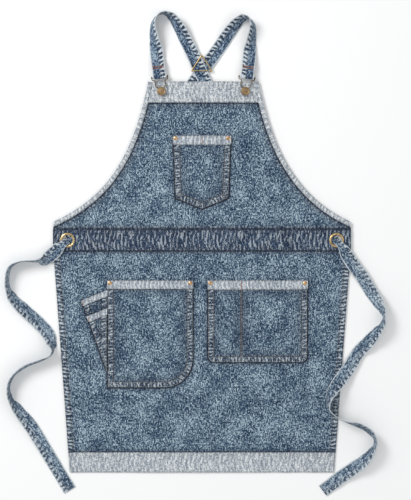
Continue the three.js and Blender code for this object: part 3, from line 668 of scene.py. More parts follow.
def strap_places(stations, spots):
    """Centre, edge direction and face direction at station numbers along a strap."""
    stations = np.asarray(stations, float)

    def centres(at):
        at = np.clip(at, 0, len(stations) - 1)
        index = np.minimum(np.floor(at).astype(int), len(stations) - 2)
        share = ease(at - index)
        roll = np.radians(mix(stations[index, 2], stations[index + 1, 2], share))
        beneath = mix(stations[index, 3], stations[index + 1, 3], share)
        reach = (np.abs(np.sin(roll)) * STRAP_WIDTH + np.abs(np.cos(roll)) * STRAP_THICK) / 2
        flat = smooth_line(stations[:, :2], at)
        return np.column_stack([flat, beneath + GAP + reach]), roll

    centre, roll = centres(spots)
    along = centres(spots + 0.02)[0] - centres(spots - 0.02)[0]
    along /= np.linalg.norm(along, axis=1, keepdims=True)
    side = np.column_stack([along[:, 1], -along[:, 0], np.zeros(len(along))])
    side /= np.linalg.norm(side, axis=1, keepdims=True)
    up = np.cross(side, along)
    cos, sin = np.cos(roll)[:, None], np.sin(roll)[:, None]
    return centre, side * cos + up * sin, up * cos - side * sin


def even_spots(stations, first, last, step=3.2):
    """Station numbers at even distances along a strap."""
    fine = np.linspace(first, last, 600)
    run = lengths(strap_places(stations, fine)[0])
    return np.interp(np.linspace(0, run[-1], max(3, int(run[-1] / step))), run, fine)


PROFILE = np.array([
    (1.0, 0.45), (0.985, 0.8), (0.93, 1.0), (0.86, 1.0), (0.81, 0.7), (0.76, 1.0), (0.5, 1.0), (0.25, 0.96),
    (0.0, 0.94),
])  # a folded strap's half width and half thickness, with the dip that its edge stitches pull


def ribbon(piece, centre, edge, face, stitched, shader, start=0.0, size=None):
    """A flat strap: a closed band with topstitched, slightly puckered edges and squared ends.

    stitched is +1 or -1 for the edge with the heavier roping. Returns the length it has run."""
    run = start + lengths(centre)
    if size is None:
        size = np.tile([STRAP_WIDTH, STRAP_THICK], (len(centre), 1))
    half = np.concatenate([PROFILE, PROFILE[-2::-1] * [-1, 1]])
    loop = np.concatenate([half, half[::-1] * [1, -1]])
    u, w = loop[:, 0], loop[:, 1]
    edge_share = ease(np.abs(u), 0.45, 0.9)
    turns = run[:, None] / ROPING * 2 * np.pi + 2.2 * wander(run, 21, 17)[:, None]
    wave = 0.16 * np.sin(turns) * edge_share
    wave += 0.12 * wander(run, 33, 29)[:, None]
    drift = 0.22 * wander(run, 24, 41)[:, None] * np.sign(u) * edge_share
    across = u * size[:, :1] / 2 + drift
    through = w * size[:, 1:] / 2 + wave
    points = centre[:, None] + edge[:, None] * across[..., None] + face[:, None] * through[..., None]
    sides = len(loop)
    back = np.sign(w) * 40  # the two faces lie far apart in the weave
    seam = STRAP_WIDTH / 2 * (1 - stitched * u)
    marks = np.stack(np.broadcast_arrays(across, run[:, None], back, seam, run[:, None]), -1)
    piece.add(points, ring_faces(len(centre), sides), shader, marks, end_caps(len(centre), sides))
    keep = size[:, 0] > STRAP_WIDTH * 0.9
    for offset in (-EDGE_ROW, EDGE_ROW):
        for away in (1, -1):
            line = centre + edge * offset + face * away * STRAP_THICK * 0.37
            stitches(piece, line[keep], THREAD, width=0.6, height=0.4, out=face[keep] * away)
    return run[-1]


BAR_BASE = WIRE_LEVEL - STRAP_THICK / 2 - GAP
CROSS_LOW = 0.9 + 2 * GAP
CROSS_HIGH = CROSS_LOW + STRAP_THICK + GAP
EDGE_LOW = 0.6
EDGE_HIGH = EDGE_LOW + STRAP_THICK + GAP + 0.7


def strap_start(side):
    reach = BAR_Y - BUTTON_Y + 26.5
    x, y = button_place(side)
    return [x + side * reach * math.sin(SWING), y + reach * math.cos(SWING), 0, BAR_BASE]


# Stations along each strap: x, y, roll in degrees and the height of what lies beneath. They run from the
# sewn end up to the fold at the shoulder, back down to the crossing, in beneath the bib and on to the
# other side's eyelet.
LEFT_STRAP = [
    strap_start(-1), [-100.5, BIB_TOP + 53, 0, BAR_BASE - 4], [-103, BIB_TOP + 74, 14, 2],
    [-107, BIB_TOP + 96, 46, 0], [-110, BIB_TOP + 124, 66, 0], [-104, BIB_TOP + 143, 78, 0],
    [-91, BIB_TOP + 152, 88, 0], [-79, BIB_TOP + 151, 100, 0], [-66.5, BIB_TOP + 143, 124, 0],
    [-51, BIB_TOP + 121, 146, 0], [-36, BIB_TOP + 92, 162, 0], [-20.9, BIB_TOP + 62.5, 180, CROSS_HIGH],
    [-6, BIB_TOP + 28, 180, CROSS_HIGH], [7.5, BIB_TOP, 180, EDGE_HIGH], [21, BIB_TOP - 32, 180, 1],
    [40, BIB_TOP - 75, 180, 0], [75, BIB_TOP - 130, 180, 0], [120, BIB_TOP - 195, 180, 0],
    [190, BIB_TOP - 280, 180, 0], [EYELET_X - 50, EYELET_Y + 28, 180, 0], [EYELET_X, EYELET_Y, 180, 0],
]
RIGHT_STRAP = [
    strap_start(1), [106, BIB_TOP + 53, 0, BAR_BASE - 4], [107.5, BIB_TOP + 70, -14, 2],
    [110.5, BIB_TOP + 90, -42, 0], [114, BIB_TOP + 118, -58, 0], [111, BIB_TOP + 134, -72, 0],
    [103, BIB_TOP + 142, -90, 0], [91, BIB_TOP + 141, -118, 0], [75, BIB_TOP + 127, -144, 0],
    [58, BIB_TOP + 105, -164, 0], [39.5, BIB_TOP + 78, -180, 0], [17.4, BIB_TOP + 47.4, -180, CROSS_LOW],
    [-2.6, BIB_TOP + 20.4, -180, CROSS_LOW], [-17, BIB_TOP, -180, EDGE_LOW], [-36, BIB_TOP - 30, -180, 0],
    [-58, BIB_TOP - 75, -180, 0], [-86, BIB_TOP - 130, -180, 0], [-126, BIB_TOP - 195, -180, 0],
    [-192, BIB_TOP - 280, -180, 0], [-EYELET_X + 50, EYELET_Y + 28, -180, 0],
    [-EYELET_X, EYELET_Y, -180, 0],
]
LOOSE = 2  # station at which the strap's sewn end stops turning with the hook
FOLD = 6  # station at the top of the shoulder fold
EDGE = 13  # station at the bib's top edge

# Each tie comes up through its eyelet, bunched, and lies free beside the apron. Places are from the eyelet.
FLANGE_TOP = BAND_TOP + GAP + 1.5
EYELET_FLOOR = 2.1
LEFT_TIE = [
    [0, 0, 0, EYELET_FLOOR + 0.6], [-8, -8, 0, FLANGE_TOP + 1.5], [-18, -17, 0, FLANGE_TOP + 0.6],
    [-34, -32, 10, BAND_TOP + 1], [-50, -44, 35, 1], [-68, -47, 80, 0], [-104, -48, 88, 0],
    [-127, -60, 84, 0], [-134, -85, 82, 0], [-132, -109, 76, 0], [-121, -131, 50, 0], [-94, -159, 24, 0],
    [-69, -182, 14, 0], [-45, -208, 16, 0], [-35, -231, 50, 0], [-32, -246, 86, 0], [-37, -258, 88, 0],
    [-59, -269, 80, 0], [-94, -283, 78, 0], [-121, -305, 84, 0], [-131, -329, 86, 0], [-126, -357, 78, 0],
    [-109, -381, 48, 0], [-81, -419, 18, 0], [-55, -462, 6, 0], [-23, -516, 0, 0], [5, -562, 0, 0],
]
RIGHT_TIE = [
    [0, 0, 0, EYELET_FLOOR + 0.6], [7, -9, 0, FLANGE_TOP + 1.5], [15, -20, 0, FLANGE_TOP + 0.6],
    [26, -38, 0, BAND_TOP], [41, -60, 0, BAND_TOP], [56, -80, -8, 3], [78, -116, -14, 0],
    [92, -138, -36, 0], [102, -157, -66, 0], [106, -173, -86, 0], [102, -190, -74, 0], [88, -208, -50, 0],
    [72, -228, -24, 0], [50, -252, -6, 0], [29, -286, -4, SEAM_THICK], [7, -316, -18, SEAM_THICK],
    [-11, -340, -50, SEAM_THICK], [-19, -362, -80, SEAM_THICK], [-18, -378, -88, SEAM_THICK],
    [-8, -390, -86, SEAM_THICK], [12, -403, -84, SEAM_THICK], [48, -414, -66, 0], [74, -429, -66, 0],
    [86, -447, -82, 0], [85, -461, -84, 0], [76, -477, -66, 0], [59, -497, -40, 0], [35, -515, -18, 0],
    [9, -534, -6, 0], [-30, -564, 0, 0],
]


def make_tie(name, side, route):
    stations = [[side * EYELET_X + x, EYELET_Y + y, roll, beneath] for x, y, roll, beneath in route]
    spots = even_spots(stations, 0, len(stations) - 1)
    centre, edge, face = strap_places(stations, spots)
    opened = ease(spots / (len(stations) - 1), 0.04, 0.1)
    size = np.column_stack([mix(16, STRAP_WIDTH, opened), mix(2.4, STRAP_THICK, opened)])
    piece = Piece()
    length = ribbon(piece, centre, edge, face, -side, TIE, size=size)
    for inset in (2.0, 9.0):
        index = min(int((1 - inset / length) * len(centre)), len(centre) - 2)
        for away in (1, -1):
            out = face[index] * away
            line = [centre[index] + edge[index] * spot + out * 0.85 for spot in np.linspace(-12, 12, 9)]
            stitches(piece, line, THREAD, width=0.6, height=0.4, out=np.tile(out, (9, 1)))
    tie = piece.make(f"waist_tie_{name}", "strap_denim", f"tie_{name}")
    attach(tie, "root")


make_tie("left", -1, LEFT_TIE)
make_tie("right", 1, RIGHT_TIE)


def make_strap(name, side, stations):
    """One shoulder strap: the end round the hook, its runs over the fold, and the run beneath the bib."""
    hook, end = f"hook_{name}", f"strap_end_{name}"
    shoulder, beneath = f"shoulder_strap_{name}", f"back_strap_{name}"
    bx, by = button_place(side)
    out = np.array([side * math.sin(SWING), math.cos(SWING), 0])  # up the strap from the button
    bar = np.array([bx, by, WIRE_LEVEL]) + out * (BAR_Y - BUTTON_Y)
    wide = np.array([out[1], -out[0], 0])
    lift = np.array([0, 0, 1.0])
    stitched = -side

    # The end goes round the bar from beneath and is sewn to the strap's back.
    apart = 0.95  # how far each of the two sewn layers lies from their middle
    spring = 1.35  # and how much further where they leave the bar
    wrap = BAR_RADIUS + GAP + STRAP_THICK / 2
    tail = [(s, -apart - spring * (1 - ease(s, 3, 12))) for s in np.linspace(26, 2.5, 10)]
    turn = np.linspace(-math.pi / 2, -1.5 * math.pi, 15)[1:-1]
    turn = [(wrap * math.cos(angle), wrap * math.sin(angle)) for angle in turn]
    front = [(s, apart * (1 - ease(s, 22, 44)) + spring * (1 - ease(s, 2.5, 12)))
             for s in np.linspace(2.5, 24, 9)]
    loop = np.array([bar + out * s + lift * z for s, z in tail + turn + front])
    centre, edge, _ = strap_places(stations, even_spots(stations, 0, LOOSE))
    from_bar = np.linalg.norm(centre[:, :2] - bar[:2], axis=1)
    centre = centre + lift * (apart * (1 - ease(from_bar, 22, 44)))[:, None]
    path = np.concatenate([loop, centre[1:]])
    ahead = np.gradient(path, axis=0)
    ahead /= np.linalg.norm(ahead, axis=1, keepdims=True)
    edges = np.concatenate([np.tile(wide, (len(loop), 1)), edge[1:]])
    faces = np.cross(edges, ahead)
    faces /= np.linalg.norm(faces, axis=1, keepdims=True)
    piece = Piece()
    run = ribbon(piece, path, edges, faces, stitched, STRAP)
    for at in (24.6, 20.4):
        bar_tack(piece, bar + out * at + lift * 2.0, wide, 26, 1.1, 0.45)
    lower = piece.make(f"strap_lower_{name}", "strap_denim", end, shoulder)
    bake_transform(lower)

    tuck = 0.25  # stations that the upper run goes on beneath the bib's top edge
    stretches = (("front", LOOSE, FOLD, shoulder), ("back", FOLD, EDGE + tuck, shoulder),
                 ("beneath", EDGE + tuck + 0.02, len(stations) - 1, beneath))
    for title, first, last, node in stretches:
        centre, edge, face = strap_places(stations, even_spots(stations, first, last))
        piece, begun = Piece(), run
        run = ribbon(piece, centre, edge, face, stitched, STRAP, start=begun)
        made = piece.make(f"strap_{title}_{name}", "strap_denim", node)
        if title == "front":
            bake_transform(made)
        else:
            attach(made, "root")


make_strap("left", -1, LEFT_STRAP)
make_strap("right", 1, RIGHT_STRAP)


# ------------------------------------------------------------------ panels, bands and bindings


def finish_root(piece, name, slot, nodes):
    made = piece.make(name, slot, *nodes)
    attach(made, "root")


def rounded_foot(pocket, left_too):
    """Height of a pocket's lower edge at each place across it, and its sewn outline as a line."""
    radius = pocket["corner"]
    level = pocket["bottom"] + radius

    def foot(x):
        from_right = np.clip(radius - (pocket["right"] - x), 0, radius)
        from_left = np.clip(radius - (x - pocket["left"]), 0, radius) * left_too
        return level - np.sqrt(np.maximum(radius**2 - np.maximum(from_right, from_left)**2, 0))

    right_arc = [(pocket["right"] - radius * (1 - math.sin(a)), level - radius * math.cos(a))
                 for a in np.linspace(0, math.pi / 2, 12)]
    left_arc = [(pocket["left"] + radius * (1 - math.cos(a)), level - radius * math.sin(a))
                for a in np.linspace(0, math.pi / 2, 8)]
    corner = left_arc if left_too else [(pocket["left"], pocket["bottom"])]
    return foot, [(pocket["left"], pocket["top"]), *corner, *right_arc, (pocket["right"], pocket["top"])]


def tool_tier(drop, inset):
    """Right side, width, inner mouth height and sewn outline of one tier of the tool pocket."""
    right, width = LEFT_POCKET["left"] - GAP, TOOL_POCKET["width"] - inset
    inner = TOOL_POCKET["top"] - drop
    outer, foot = inner - width * TOOL_POCKET["slope"], TOOL_POCKET["foot"]
    return right, width, inner, [(right - width, outer), (right - 1, foot), (right, foot), (right, inner)]


BIB_POCKET_LINE = [
    (-BIB_POCKET["half"], BIB_POCKET["top"]), (-BIB_POCKET["foot_half"], BIB_POCKET["foot"]),
    (0, BIB_POCKET["point"]),
    (BIB_POCKET["foot_half"], BIB_POCKET["foot"]), (BIB_POCKET["half"], BIB_POCKET["top"]),
]


def skirt_height(x, y):
    inset = skirt_half(y) - np.abs(x)
    hem = 1 - ease(inset, SIDE_HEM - 0.7, SIDE_HEM + 0.6)
    side = puckers(-y, np.maximum(inset, 0), 8.5, 9, 11) * 0.32
    top = puckers(x, np.abs(y + WAIST_HEIGHT), 9, 10, 13) * 0.3
    foot = puckers(x, np.abs(y - HEM_Y - HEM_BAND), 9, 10, 15) * 0.3
    return skirt_lift(y) + SKIRT_FACE + hem * 1.1 + ground(x, y) + side + top + foot


def make_skirt():
    high_y, low_y = -WAIST_HEIGHT + 1.5, HEM_Y + HEM_BAND - 1.5
    across, length = steps(2 * WAIST_HALF), steps(high_y - low_y)

    def place(u, v):
        y = mix(low_y, high_y, v)
        bent = u + 0.35 * np.sin(2 * np.pi * (u * 2)) / (4 * np.pi)  # closer columns at the side hems
        return (2 * bent - 1) * skirt_half(np.minimum(y, -WAIST_HEIGHT)), y

    x, y = grid(across, length, place)
    sides = [[(s * skirt_half(low_y), low_y), (s * WAIST_HALF, high_y)] for s in (-1, 1)]
    seam, along = nearest(x, y, sides)
    ends = SIDE_HEM + np.minimum(high_y - 1.5 - y, y - low_y - 1.5)
    along = np.where(ends < seam, x, along)
    inset, seam = seam, np.minimum(seam, ends)
    high = skirt_height(x, y)
    low = skirt_lift(y) + 1.1 * ease(inset, SIDE_HEM - 0.7, SIDE_HEM + 0.6) + ground(x, y)
    sewn_on = [[(-WAIST_HALF, edge), (WAIST_HALF, edge)] for edge in (-WAIST_HEIGHT, HEM_Y + HEM_BAND)]
    sewn_on += [rounded_foot(LEFT_POCKET, False)[1], rounded_foot(RIGHT_POCKET, True)[1]]
    sewn_on += [tool_tier(0, 0)[3][:2]]
    piece = Piece()
    blanket(piece, x, y, low, high, seam, along, BODY, halo=nearest(x, y, sewn_on)[0])
    for side, line in zip((-1, 1), sides):
        sew(piece, line, [-side * -2.0, -side * -9.6], skirt_height, NAVY_THREAD, trim=0.2)
    finish_root(piece, "skirt_cloth", "denim", ["skirt_panel"])


def bib_height(x, y):
    edge = bib_half(np.maximum(y, 0), BINDING) - np.abs(x - lean(y))
    side = puckers(y, np.maximum(edge, 0), 10, 9, 21) * 0.28
    top = puckers(x, np.abs(y - BIB_TOP + BIB_BAND), 9, 9, 23) * 0.3
    foot = puckers(x, np.abs(y), 8.5, 9, 25) * 0.3
    return BIB_FACE + ground(x, y) + side + top + foot


def make_bib():
    high_y, low_y = BIB_TOP - BIB_BAND + 1.5, -1.5
    across, length = steps(2 * WAIST_HALF), steps(high_y - low_y, 3.0)

    def place(u, v):
        y = mix(low_y, high_y, v**1.25)
        return lean(y) + (2 * u - 1) * bib_half(np.maximum(y, 0), BINDING - 1.5), y

    x, y = grid(across, length, place)
    shares = np.linspace(0, 1, 40)
    arm_x, arm_y = armhole(shares, BINDING)
    sides = [np.column_stack([s * arm_x + lean(arm_y), arm_y]) for s in (-1, 1)]
    ends = [[(-WAIST_HALF, height), (WAIST_HALF, height)] for height in (0, BIB_TOP - BIB_BAND)]
    seam, along = nearest(x, y, [*sides, *ends])
    piece = Piece()
    blanket(piece, x, y, bib_height(x, y) - CLOTH, bib_height(x, y), seam, along, BIB,
            halo=nearest(x, y, [BIB_POCKET_LINE])[0])
    heights = np.linspace(0, high_y, 60)
    area = float(np.trapz(2 * bib_half(heights, BINDING), heights)) * MM**2
    finish_root(piece, "bib_cloth", "denim", ["bib_panel"])


def make_binding(name, side):
    across, length = 7, 130
    u, v = np.meshgrid(np.linspace(0, 1, across), np.linspace(0, 1, length), indexing="ij")
    insets = u * BINDING
    ends = np.array([arm_end(inset) for inset in insets[:, 0]])[:, None]
    ax, ay = armhole(v * ends, insets)
    x, y = side * ax + lean(ay), ay
    run = v * ARMHOLE_LENGTH
    crown = 0.5 * np.sin(np.pi * u) - 0.2
    turns = run / ROPING * 2 * np.pi + u * 2.2 + 3 * wander(run, 26, 31 + side)
    waves = 0.42 * np.sin(turns) * (0.5 + 0.5 * u)
    high = BAND_TOP + crown + waves + ground(x, y)
    piece = Piece()
    edge = np.minimum(insets, BINDING - insets) + 1.5
    blanket(piece, x, y, BIB_LEVEL + ground(x, y), high, edge, run, PALE, weave=(run, insets))

    def height(px, py):
        spot = np.argmin((px[:, None] - x.ravel())**2 + (py[:, None] - y.ravel())**2, axis=1)
        return high.ravel()[spot]

    for inset in (1.6, BINDING - 1.8):
        shares = np.linspace(0.005, arm_end(inset) - 0.004, 260)
        sx, sy = armhole(shares, inset)
        sx = side * sx + lean(sy)
        stitches(piece, np.column_stack([sx, sy, height(sx, sy) + 0.05]))
    finish_root(piece, f"binding_{name}", "pale_denim", [f"armhole_binding_{name}"])


def make_band(name, slot, node, cloth, thread, low_y, high_y, widest, half, rows, seed, size=0.4,
              under=BIB_LEVEL, gap=0.0, inset=0.0, trim=0.3, sides=()):
    """A doubled band across the apron, slightly crowned, puckered and topstitched along both long edges.

    half gives its half width at a height, less an inset, and size how high its puckers stand."""

    def height(px, py):
        # The top band lies flat where the hooks slide over it.
        away = np.where(py > 0, ease(np.abs(np.abs(px) - button_place(1)[0]), 20, 32), 1)
        top = puckers(px, np.abs(high_y - py), 9, 13, seed)
        foot = puckers(px, np.abs(py - low_y), 9, 13, seed + 4)
        crown = 0.35 * (1 - ease(np.minimum(high_y - py, py - low_y), 0, 4)) + 0.35 * (1 - away)
        face = under + SEAM_THICK + (top + foot) * mix(0.05, size, away) - crown
        return face + ground(px, py) + top_rise(px, py)

    def place(u, v):
        y = mix(low_y, high_y - gap, v)
        return lean(y) + (2 * u - 1) * half(y, 0), y

    x, y = grid(steps(2 * widest, BAND_GRID), steps(high_y - low_y, BAND_GRID), place)
    seam = np.minimum(high_y - gap - y, y - low_y)
    mid_x, mid_y = x[:-1, :-1] + BAND_GRID / 2, y[:-1, :-1] + BAND_GRID / 2
    keep = np.hypot(np.abs(mid_x) - EYELET_X, mid_y - EYELET_Y) > EYELET_HOLE
    piece = Piece()
    blanket(piece, x, y, under + top_rise(x, y) + ground(x, y), height(x, y), seam, x, cloth, keep)
    for edge_y, way, distances in ((low_y, 1, rows[0]), (high_y, -1, rows[1])):
        line = [(lean(edge_y) + end * way * half(edge_y, inset), edge_y) for end in (-1, 1)]
        sew(piece, line, distances, height, thread, trim)
    for side in sides:
        line = [(side * half(edge_y, 0), edge_y) for edge_y in (low_y, high_y)]
        sew(piece, line, [side * 2.5], height, thread)
    finish_root(piece, name, slot, [node])


def make_bands():
    make_band("waistband_cloth", "denim", "waistband", WAIST, NAVY_THREAD, -WAIST_HEIGHT, 0, WAIST_HALF,
              lambda y, inset: WAIST_HALF + 0.5 - inset,
              ([2.0, 7.0], [2.0, 7.0]), 61, size=0.45, gap=GAP, inset=0.5)
    make_band("top_band_cloth", "pale_denim", "bib_top_band", PALE, THREAD, BIB_TOP - BIB_BAND, BIB_TOP,
              BIB_HALF, lambda y, inset: bib_half(y, BINDING + GAP + inset),
              ([2.0, 8.0], [2.0, 9.0]), 51, inset=2 - GAP, trim=0)
    make_band("hem_band_cloth", "pale_denim", "bottom_hem_band", PALE, THREAD, HEM_Y, HEM_Y + HEM_BAND,
              HEM_HALF, lambda y, inset: skirt_half(y) - inset,
              ([2.4], [2.0, 7.5]), 71, under=0, sides=(-1, 1))


make_skirt()
make_bib()
make_bands()
for name, side in SIDES.items():
    make_binding(name, side)


# ------------------------------------------------------------------ pockets

def make_pocket(name, left, right, mouth, foot, outline, base, seed, band_depth,
                pinned=(), rows=(2.0, POCKET_SEAM - 0.9), fullness=1.0, tacks=()):
    """A patch pocket whose front stands off the cloth behind it, with its mouth band.

    mouth and foot give the upper and lower edge at each place across, outline is the sewn edge and base
    the height of the cloth behind. Returns the height of its face."""
    tall = float(np.max(mouth(np.array([left, right])) - foot(np.array([left, right]))))

    def bulge(x, y):
        away, _ = nearest(x, y, [outline])
        for place in pinned:
            away = np.minimum(away, np.abs(x - place))
        level = np.clip((y - foot(x)) / np.maximum(mouth(x) - foot(x), 1), 0, 1)
        full = ease(away, 1.5, 30) * mix(0.42, 0.95, ease(level)) * fullness
        for rx, ry in RIVETS.get(name, ()):
            full = np.maximum(full, 1 - ease(np.hypot(x - rx, y - ry), 6.5, 21))
        return full

    def height(x, y):
        away, along = nearest(x, y, [outline])
        sewn = 1 - ease(away, POCKET_SEAM - 0.6, POCKET_SEAM + 1.9)
        creases = 0.45 * ripple(x * 1.1, y * 0.55, 26, seed) * ease(away, 8, 30)
        near = 0.55 * sewn + puckers(along, away, 7.5, 8, seed + 2) * 0.34
        return base(x, y) + 1.0 + (ROOM - 0.2) * bulge(x, y) + near + creases

    def place(u, v):
        x = mix(left, right, u - 0.16 * np.sin(2 * np.pi * u) / (2 * np.pi))
        return x, mix(foot(x), mouth(x), v)

    x, y = grid(steps(right - left, 2.6), steps(tall, 2.6), place)
    seam, along = nearest(x, y, [outline])
    for place_x in pinned:
        closer = np.abs(x - place_x) + POCKET_SEAM - 2.1
        along = np.where(closer < seam, y, along)
        seam = np.minimum(seam, closer)
    under_band = POCKET_SEAM + np.abs(mouth(x) - band_depth - y)
    along = np.where(under_band < seam, x, along)
    seam = np.minimum(seam, under_band)
    high = height(x, y)
    piece = Piece()
    blanket(piece, x, y, np.maximum(high - 1.3, base(x, y) + 0.05), high, seam, along, POCKET)
    sew(piece, outline, rows, height, trim=0.5)
    for place_x in pinned:
        ends = [(place_x - 1.3, float(edge(np.array(place_x)))) for edge in (foot, mouth)]
        sew(piece, ends, [0.0, -2.6], height)
    area = float(np.trapz(mouth(x[:, 0]) - foot(x[:, 0]), x[:, 0])) * MM**2
    finish_root(piece, f"{name}_cloth", "denim", [name])

    # The band over the mouth: a folded strip that runs just past the pocket's edge.
    def band_place(u, v):
        x = mix(left - 0.4, right + 0.4, u)
        inside = np.clip(x, left, right)
        return x, np.maximum(mouth(inside) + 0.5 - band_depth * (1 - v), foot(inside) - 0.4)

    def band_base(x, y):
        inside = np.clip(x, left, right)
        return height(inside, np.minimum(y, mouth(inside)))

    def band_edge(x, y):
        top_y = mouth(np.clip(x, left, right))
        return np.minimum(top_y + 0.5 - y, y - top_y + band_depth)

    def band_face(x, y):
        near = puckers(x, np.maximum(band_edge(x, y), 0), 8, 9, seed + 6) * 0.22
        return band_base(x, y) + GAP + CLOTH + near

    x, y = grid(steps(right - left, 2.2), steps(band_depth, 2.2), band_place)
    band = Piece()
    blanket(band, x, y, band_base(x, y) + 0.2, band_face(x, y), band_edge(x, y), x, MOUTH)
    across = np.linspace(left + 1, right - 1, 120)
    for inset in (2.2, band_depth - 2.6):
        spot_y = mouth(across) - inset
        stitches(band, np.column_stack([across, spot_y, band_face(across, spot_y) + 0.1]))
    for tx, length in tacks:
        tack = np.array([[tx], [float(mouth(np.array(tx))) - band_depth / 2]])
        centre = np.array([*tack[:, 0], float(band_face(*tack)[0]) + 0.15])
        bar_tack(band, centre, np.array([0, 1.0, 0]), length, 1.2, 0.5)
    finish_root(band, f"{name}_mouth", "pale_denim", [f"{name}_band"])
    return height


def over(height, lift):
    """The height of one cloth, lifted a little to lay the next on it."""
    return lambda x, y: height(x, y) + lift


def beside(height, right):
    """The face of one tier of the tool pocket as far as its right side, and the skirt beyond it."""
    skirt = over(skirt_height, 0.1)
    return lambda x, y: np.where(x <= right, height(np.minimum(x, right), y) + 1.4, skirt(x, y))


def level_mouth(top):
    return lambda x: np.full(np.shape(x), float(top))


def make_bib_pocket():
    p = BIB_POCKET

    def foot(x):
        over_x = np.abs(x)
        slope = mix(p["point"], p["foot"], np.minimum(over_x / p["foot_half"], 1))
        share = np.clip((over_x - p["foot_half"]) / (p["half"] - p["foot_half"]), 0, 1)
        return np.where(over_x < p["foot_half"], slope, mix(p["foot"], p["top"] - p["band"] - 2, share))

    make_pocket("bib_pocket", -p["half"], p["half"], level_mouth(p["top"]), foot, BIB_POCKET_LINE,
                over(bib_height, 0.1), 81, p["band"], tacks=((0, 13),))


def make_side_pocket(name, pocket, left_too, seed, pinned=(), tacks=()):
    foot, line = rounded_foot(pocket, left_too)
    make_pocket(name, pocket["left"], pocket["right"], level_mouth(pocket["top"]), foot, line,
                over(skirt_height, 0.1), seed, pocket["band"],
                pinned=pinned, tacks=tacks)


def make_tool_pocket():
    """Two tiers with slanted mouths, the narrow one sewn over the wide one."""
    t = TOOL_POCKET
    base = over(skirt_height, 0.1)
    for name, drop, inset in (("tool_pocket_upper", 0, 0), ("tool_pocket_lower", t["tier"], t["inset"])):
        right, width, inner_top, line = tool_tier(drop, inset)
        outer_top = line[0][1]

        def mouth(x, r=right, top=inner_top):
            return top - (r - x) * t["slope"]

        def foot(x, r=right, w=width, top=outer_top):
            slanted = mix(float(t["foot"]), top, np.clip((r - 1 - x) / (w - 1), 0, 1))
            return np.minimum(slanted, mouth(x, r, top + w * t["slope"]) - 1.5)

        left = right - width
        face = make_pocket(name, left, right, mouth, foot, line, base, 111 + drop,
                           t["band"], rows=(2.0,), fullness=0.9, tacks=((left + 4, 8),))
        base = beside(face, right)


make_bib_pocket()
make_side_pocket("left_pocket", LEFT_POCKET, False, 101)
make_side_pocket("right_pocket", RIGHT_POCKET, True, 91, (DIVIDER,), ((DIVIDER, 17),))
make_tool_pocket()


# ------------------------------------------------------------------ turned and bent metal

def turned(name, profile, x, y, shader, slot, body, node, segments=48):
    """A piece turned about the vertical through x, y. Its profile is a closed line of radius, height."""
    points = np.asarray(profile, float)
    angles = np.linspace(0, 2 * math.pi, segments, endpoint=False)
    rings = np.stack([
        np.outer(np.cos(angles), points[:, 0]) + x,
        np.outer(np.sin(angles), points[:, 0]) + y,
        np.tile(points[:, 1], (segments, 1)),
    ], -1)
    piece = Piece()
    piece.add(rings, ring_faces(segments, len(points), closed=True), shader)
    piece.ride(body, name, slot, node, sharp=38, weld=True)


def rounded(points, radius=0.25, cuts=3):
    """A closed profile with its corners off the axis rounded."""
    points = [np.asarray(p, float) for p in points]
    result = []
    for index, point in enumerate(points):
        before, after = points[index - 1], points[(index + 1) % len(points)]
        if point[0] < 1e-6:
            result.append(point)
            continue
        to_before, to_after = before - point, after - point
        reach = min(radius, np.linalg.norm(to_before) * 0.45, np.linalg.norm(to_after) * 0.45)
        start = point + to_before / np.linalg.norm(to_before) * reach
        end = point + to_after / np.linalg.norm(to_after) * reach
        for share in np.linspace(0, 1, cuts + 1):
            result.append((1 - share)**2 * start + 2 * share * (1 - share) * point + share**2 * end)
    return result


def make_rivets():
    for pocket, spots in RIVETS.items():
        on_bib = pocket == "bib_pocket"
        seat = (BIB_FACE if on_bib else SKIRT_FACE) + ROOM + 2 * CLOTH + 3 * GAP
        back = BIB_LEVEL if on_bib else 0.1
        head = rounded([(0, back), (1.3, back), (1.3, seat), (4.75, seat), (4.75, seat + 0.5),
                        (2.9, seat + 1.45), (1.7, seat + 1.15), (1.2, seat + 1.6), (0, seat + 1.6)], 0.35)
        burr = rounded([(1.6, back), (4.3, back), (4.3, back + 0.7), (1.6, back + 0.7)], 0.2)
        for side, (x, y) in zip(SIDES, spots):
            rivet, ring = f"{pocket}_{side}_rivet", f"{pocket}_{side}_burr"
            turned(f"{rivet}_head", head, x, y, COPPER, "copper", "root", rivet)
            turned(f"{rivet}_burr", burr, x, y, COPPER, "copper", "root", ring)


def make_eyelets():
    low, seat, bore, outer = 2.4, BAND_TOP + GAP, EYELET_BORE, EYELET_RIM
    profile = [(bore, low), (bore + 0.7, low), (bore + 0.7, seat), (outer, seat), (outer, seat + 0.35)]
    for share in np.linspace(0.06, 0.9, 9):
        crown = 0.35 + 1.15 * math.sin(math.pi * share)**0.7
        profile.append((mix(outer, bore, share), seat + crown))
    profile.append((bore, seat + 0.5))
    inner, rim, thick = bore + 1, outer - 1, 0.8
    washer = rounded([(inner, low), (rim, low), (rim, low + thick), (inner, low + thick)], 0.2)
    for name, side in SIDES.items():
        for title, shape, node in (("flange", profile, "eyelet"), ("ring", washer, "eyelet_washer")):
            turned(f"eyelet_{title}_{name}", shape, side * EYELET_X, EYELET_Y, BRASS, "brass", "root",
                   f"{node}_{name}", 72)


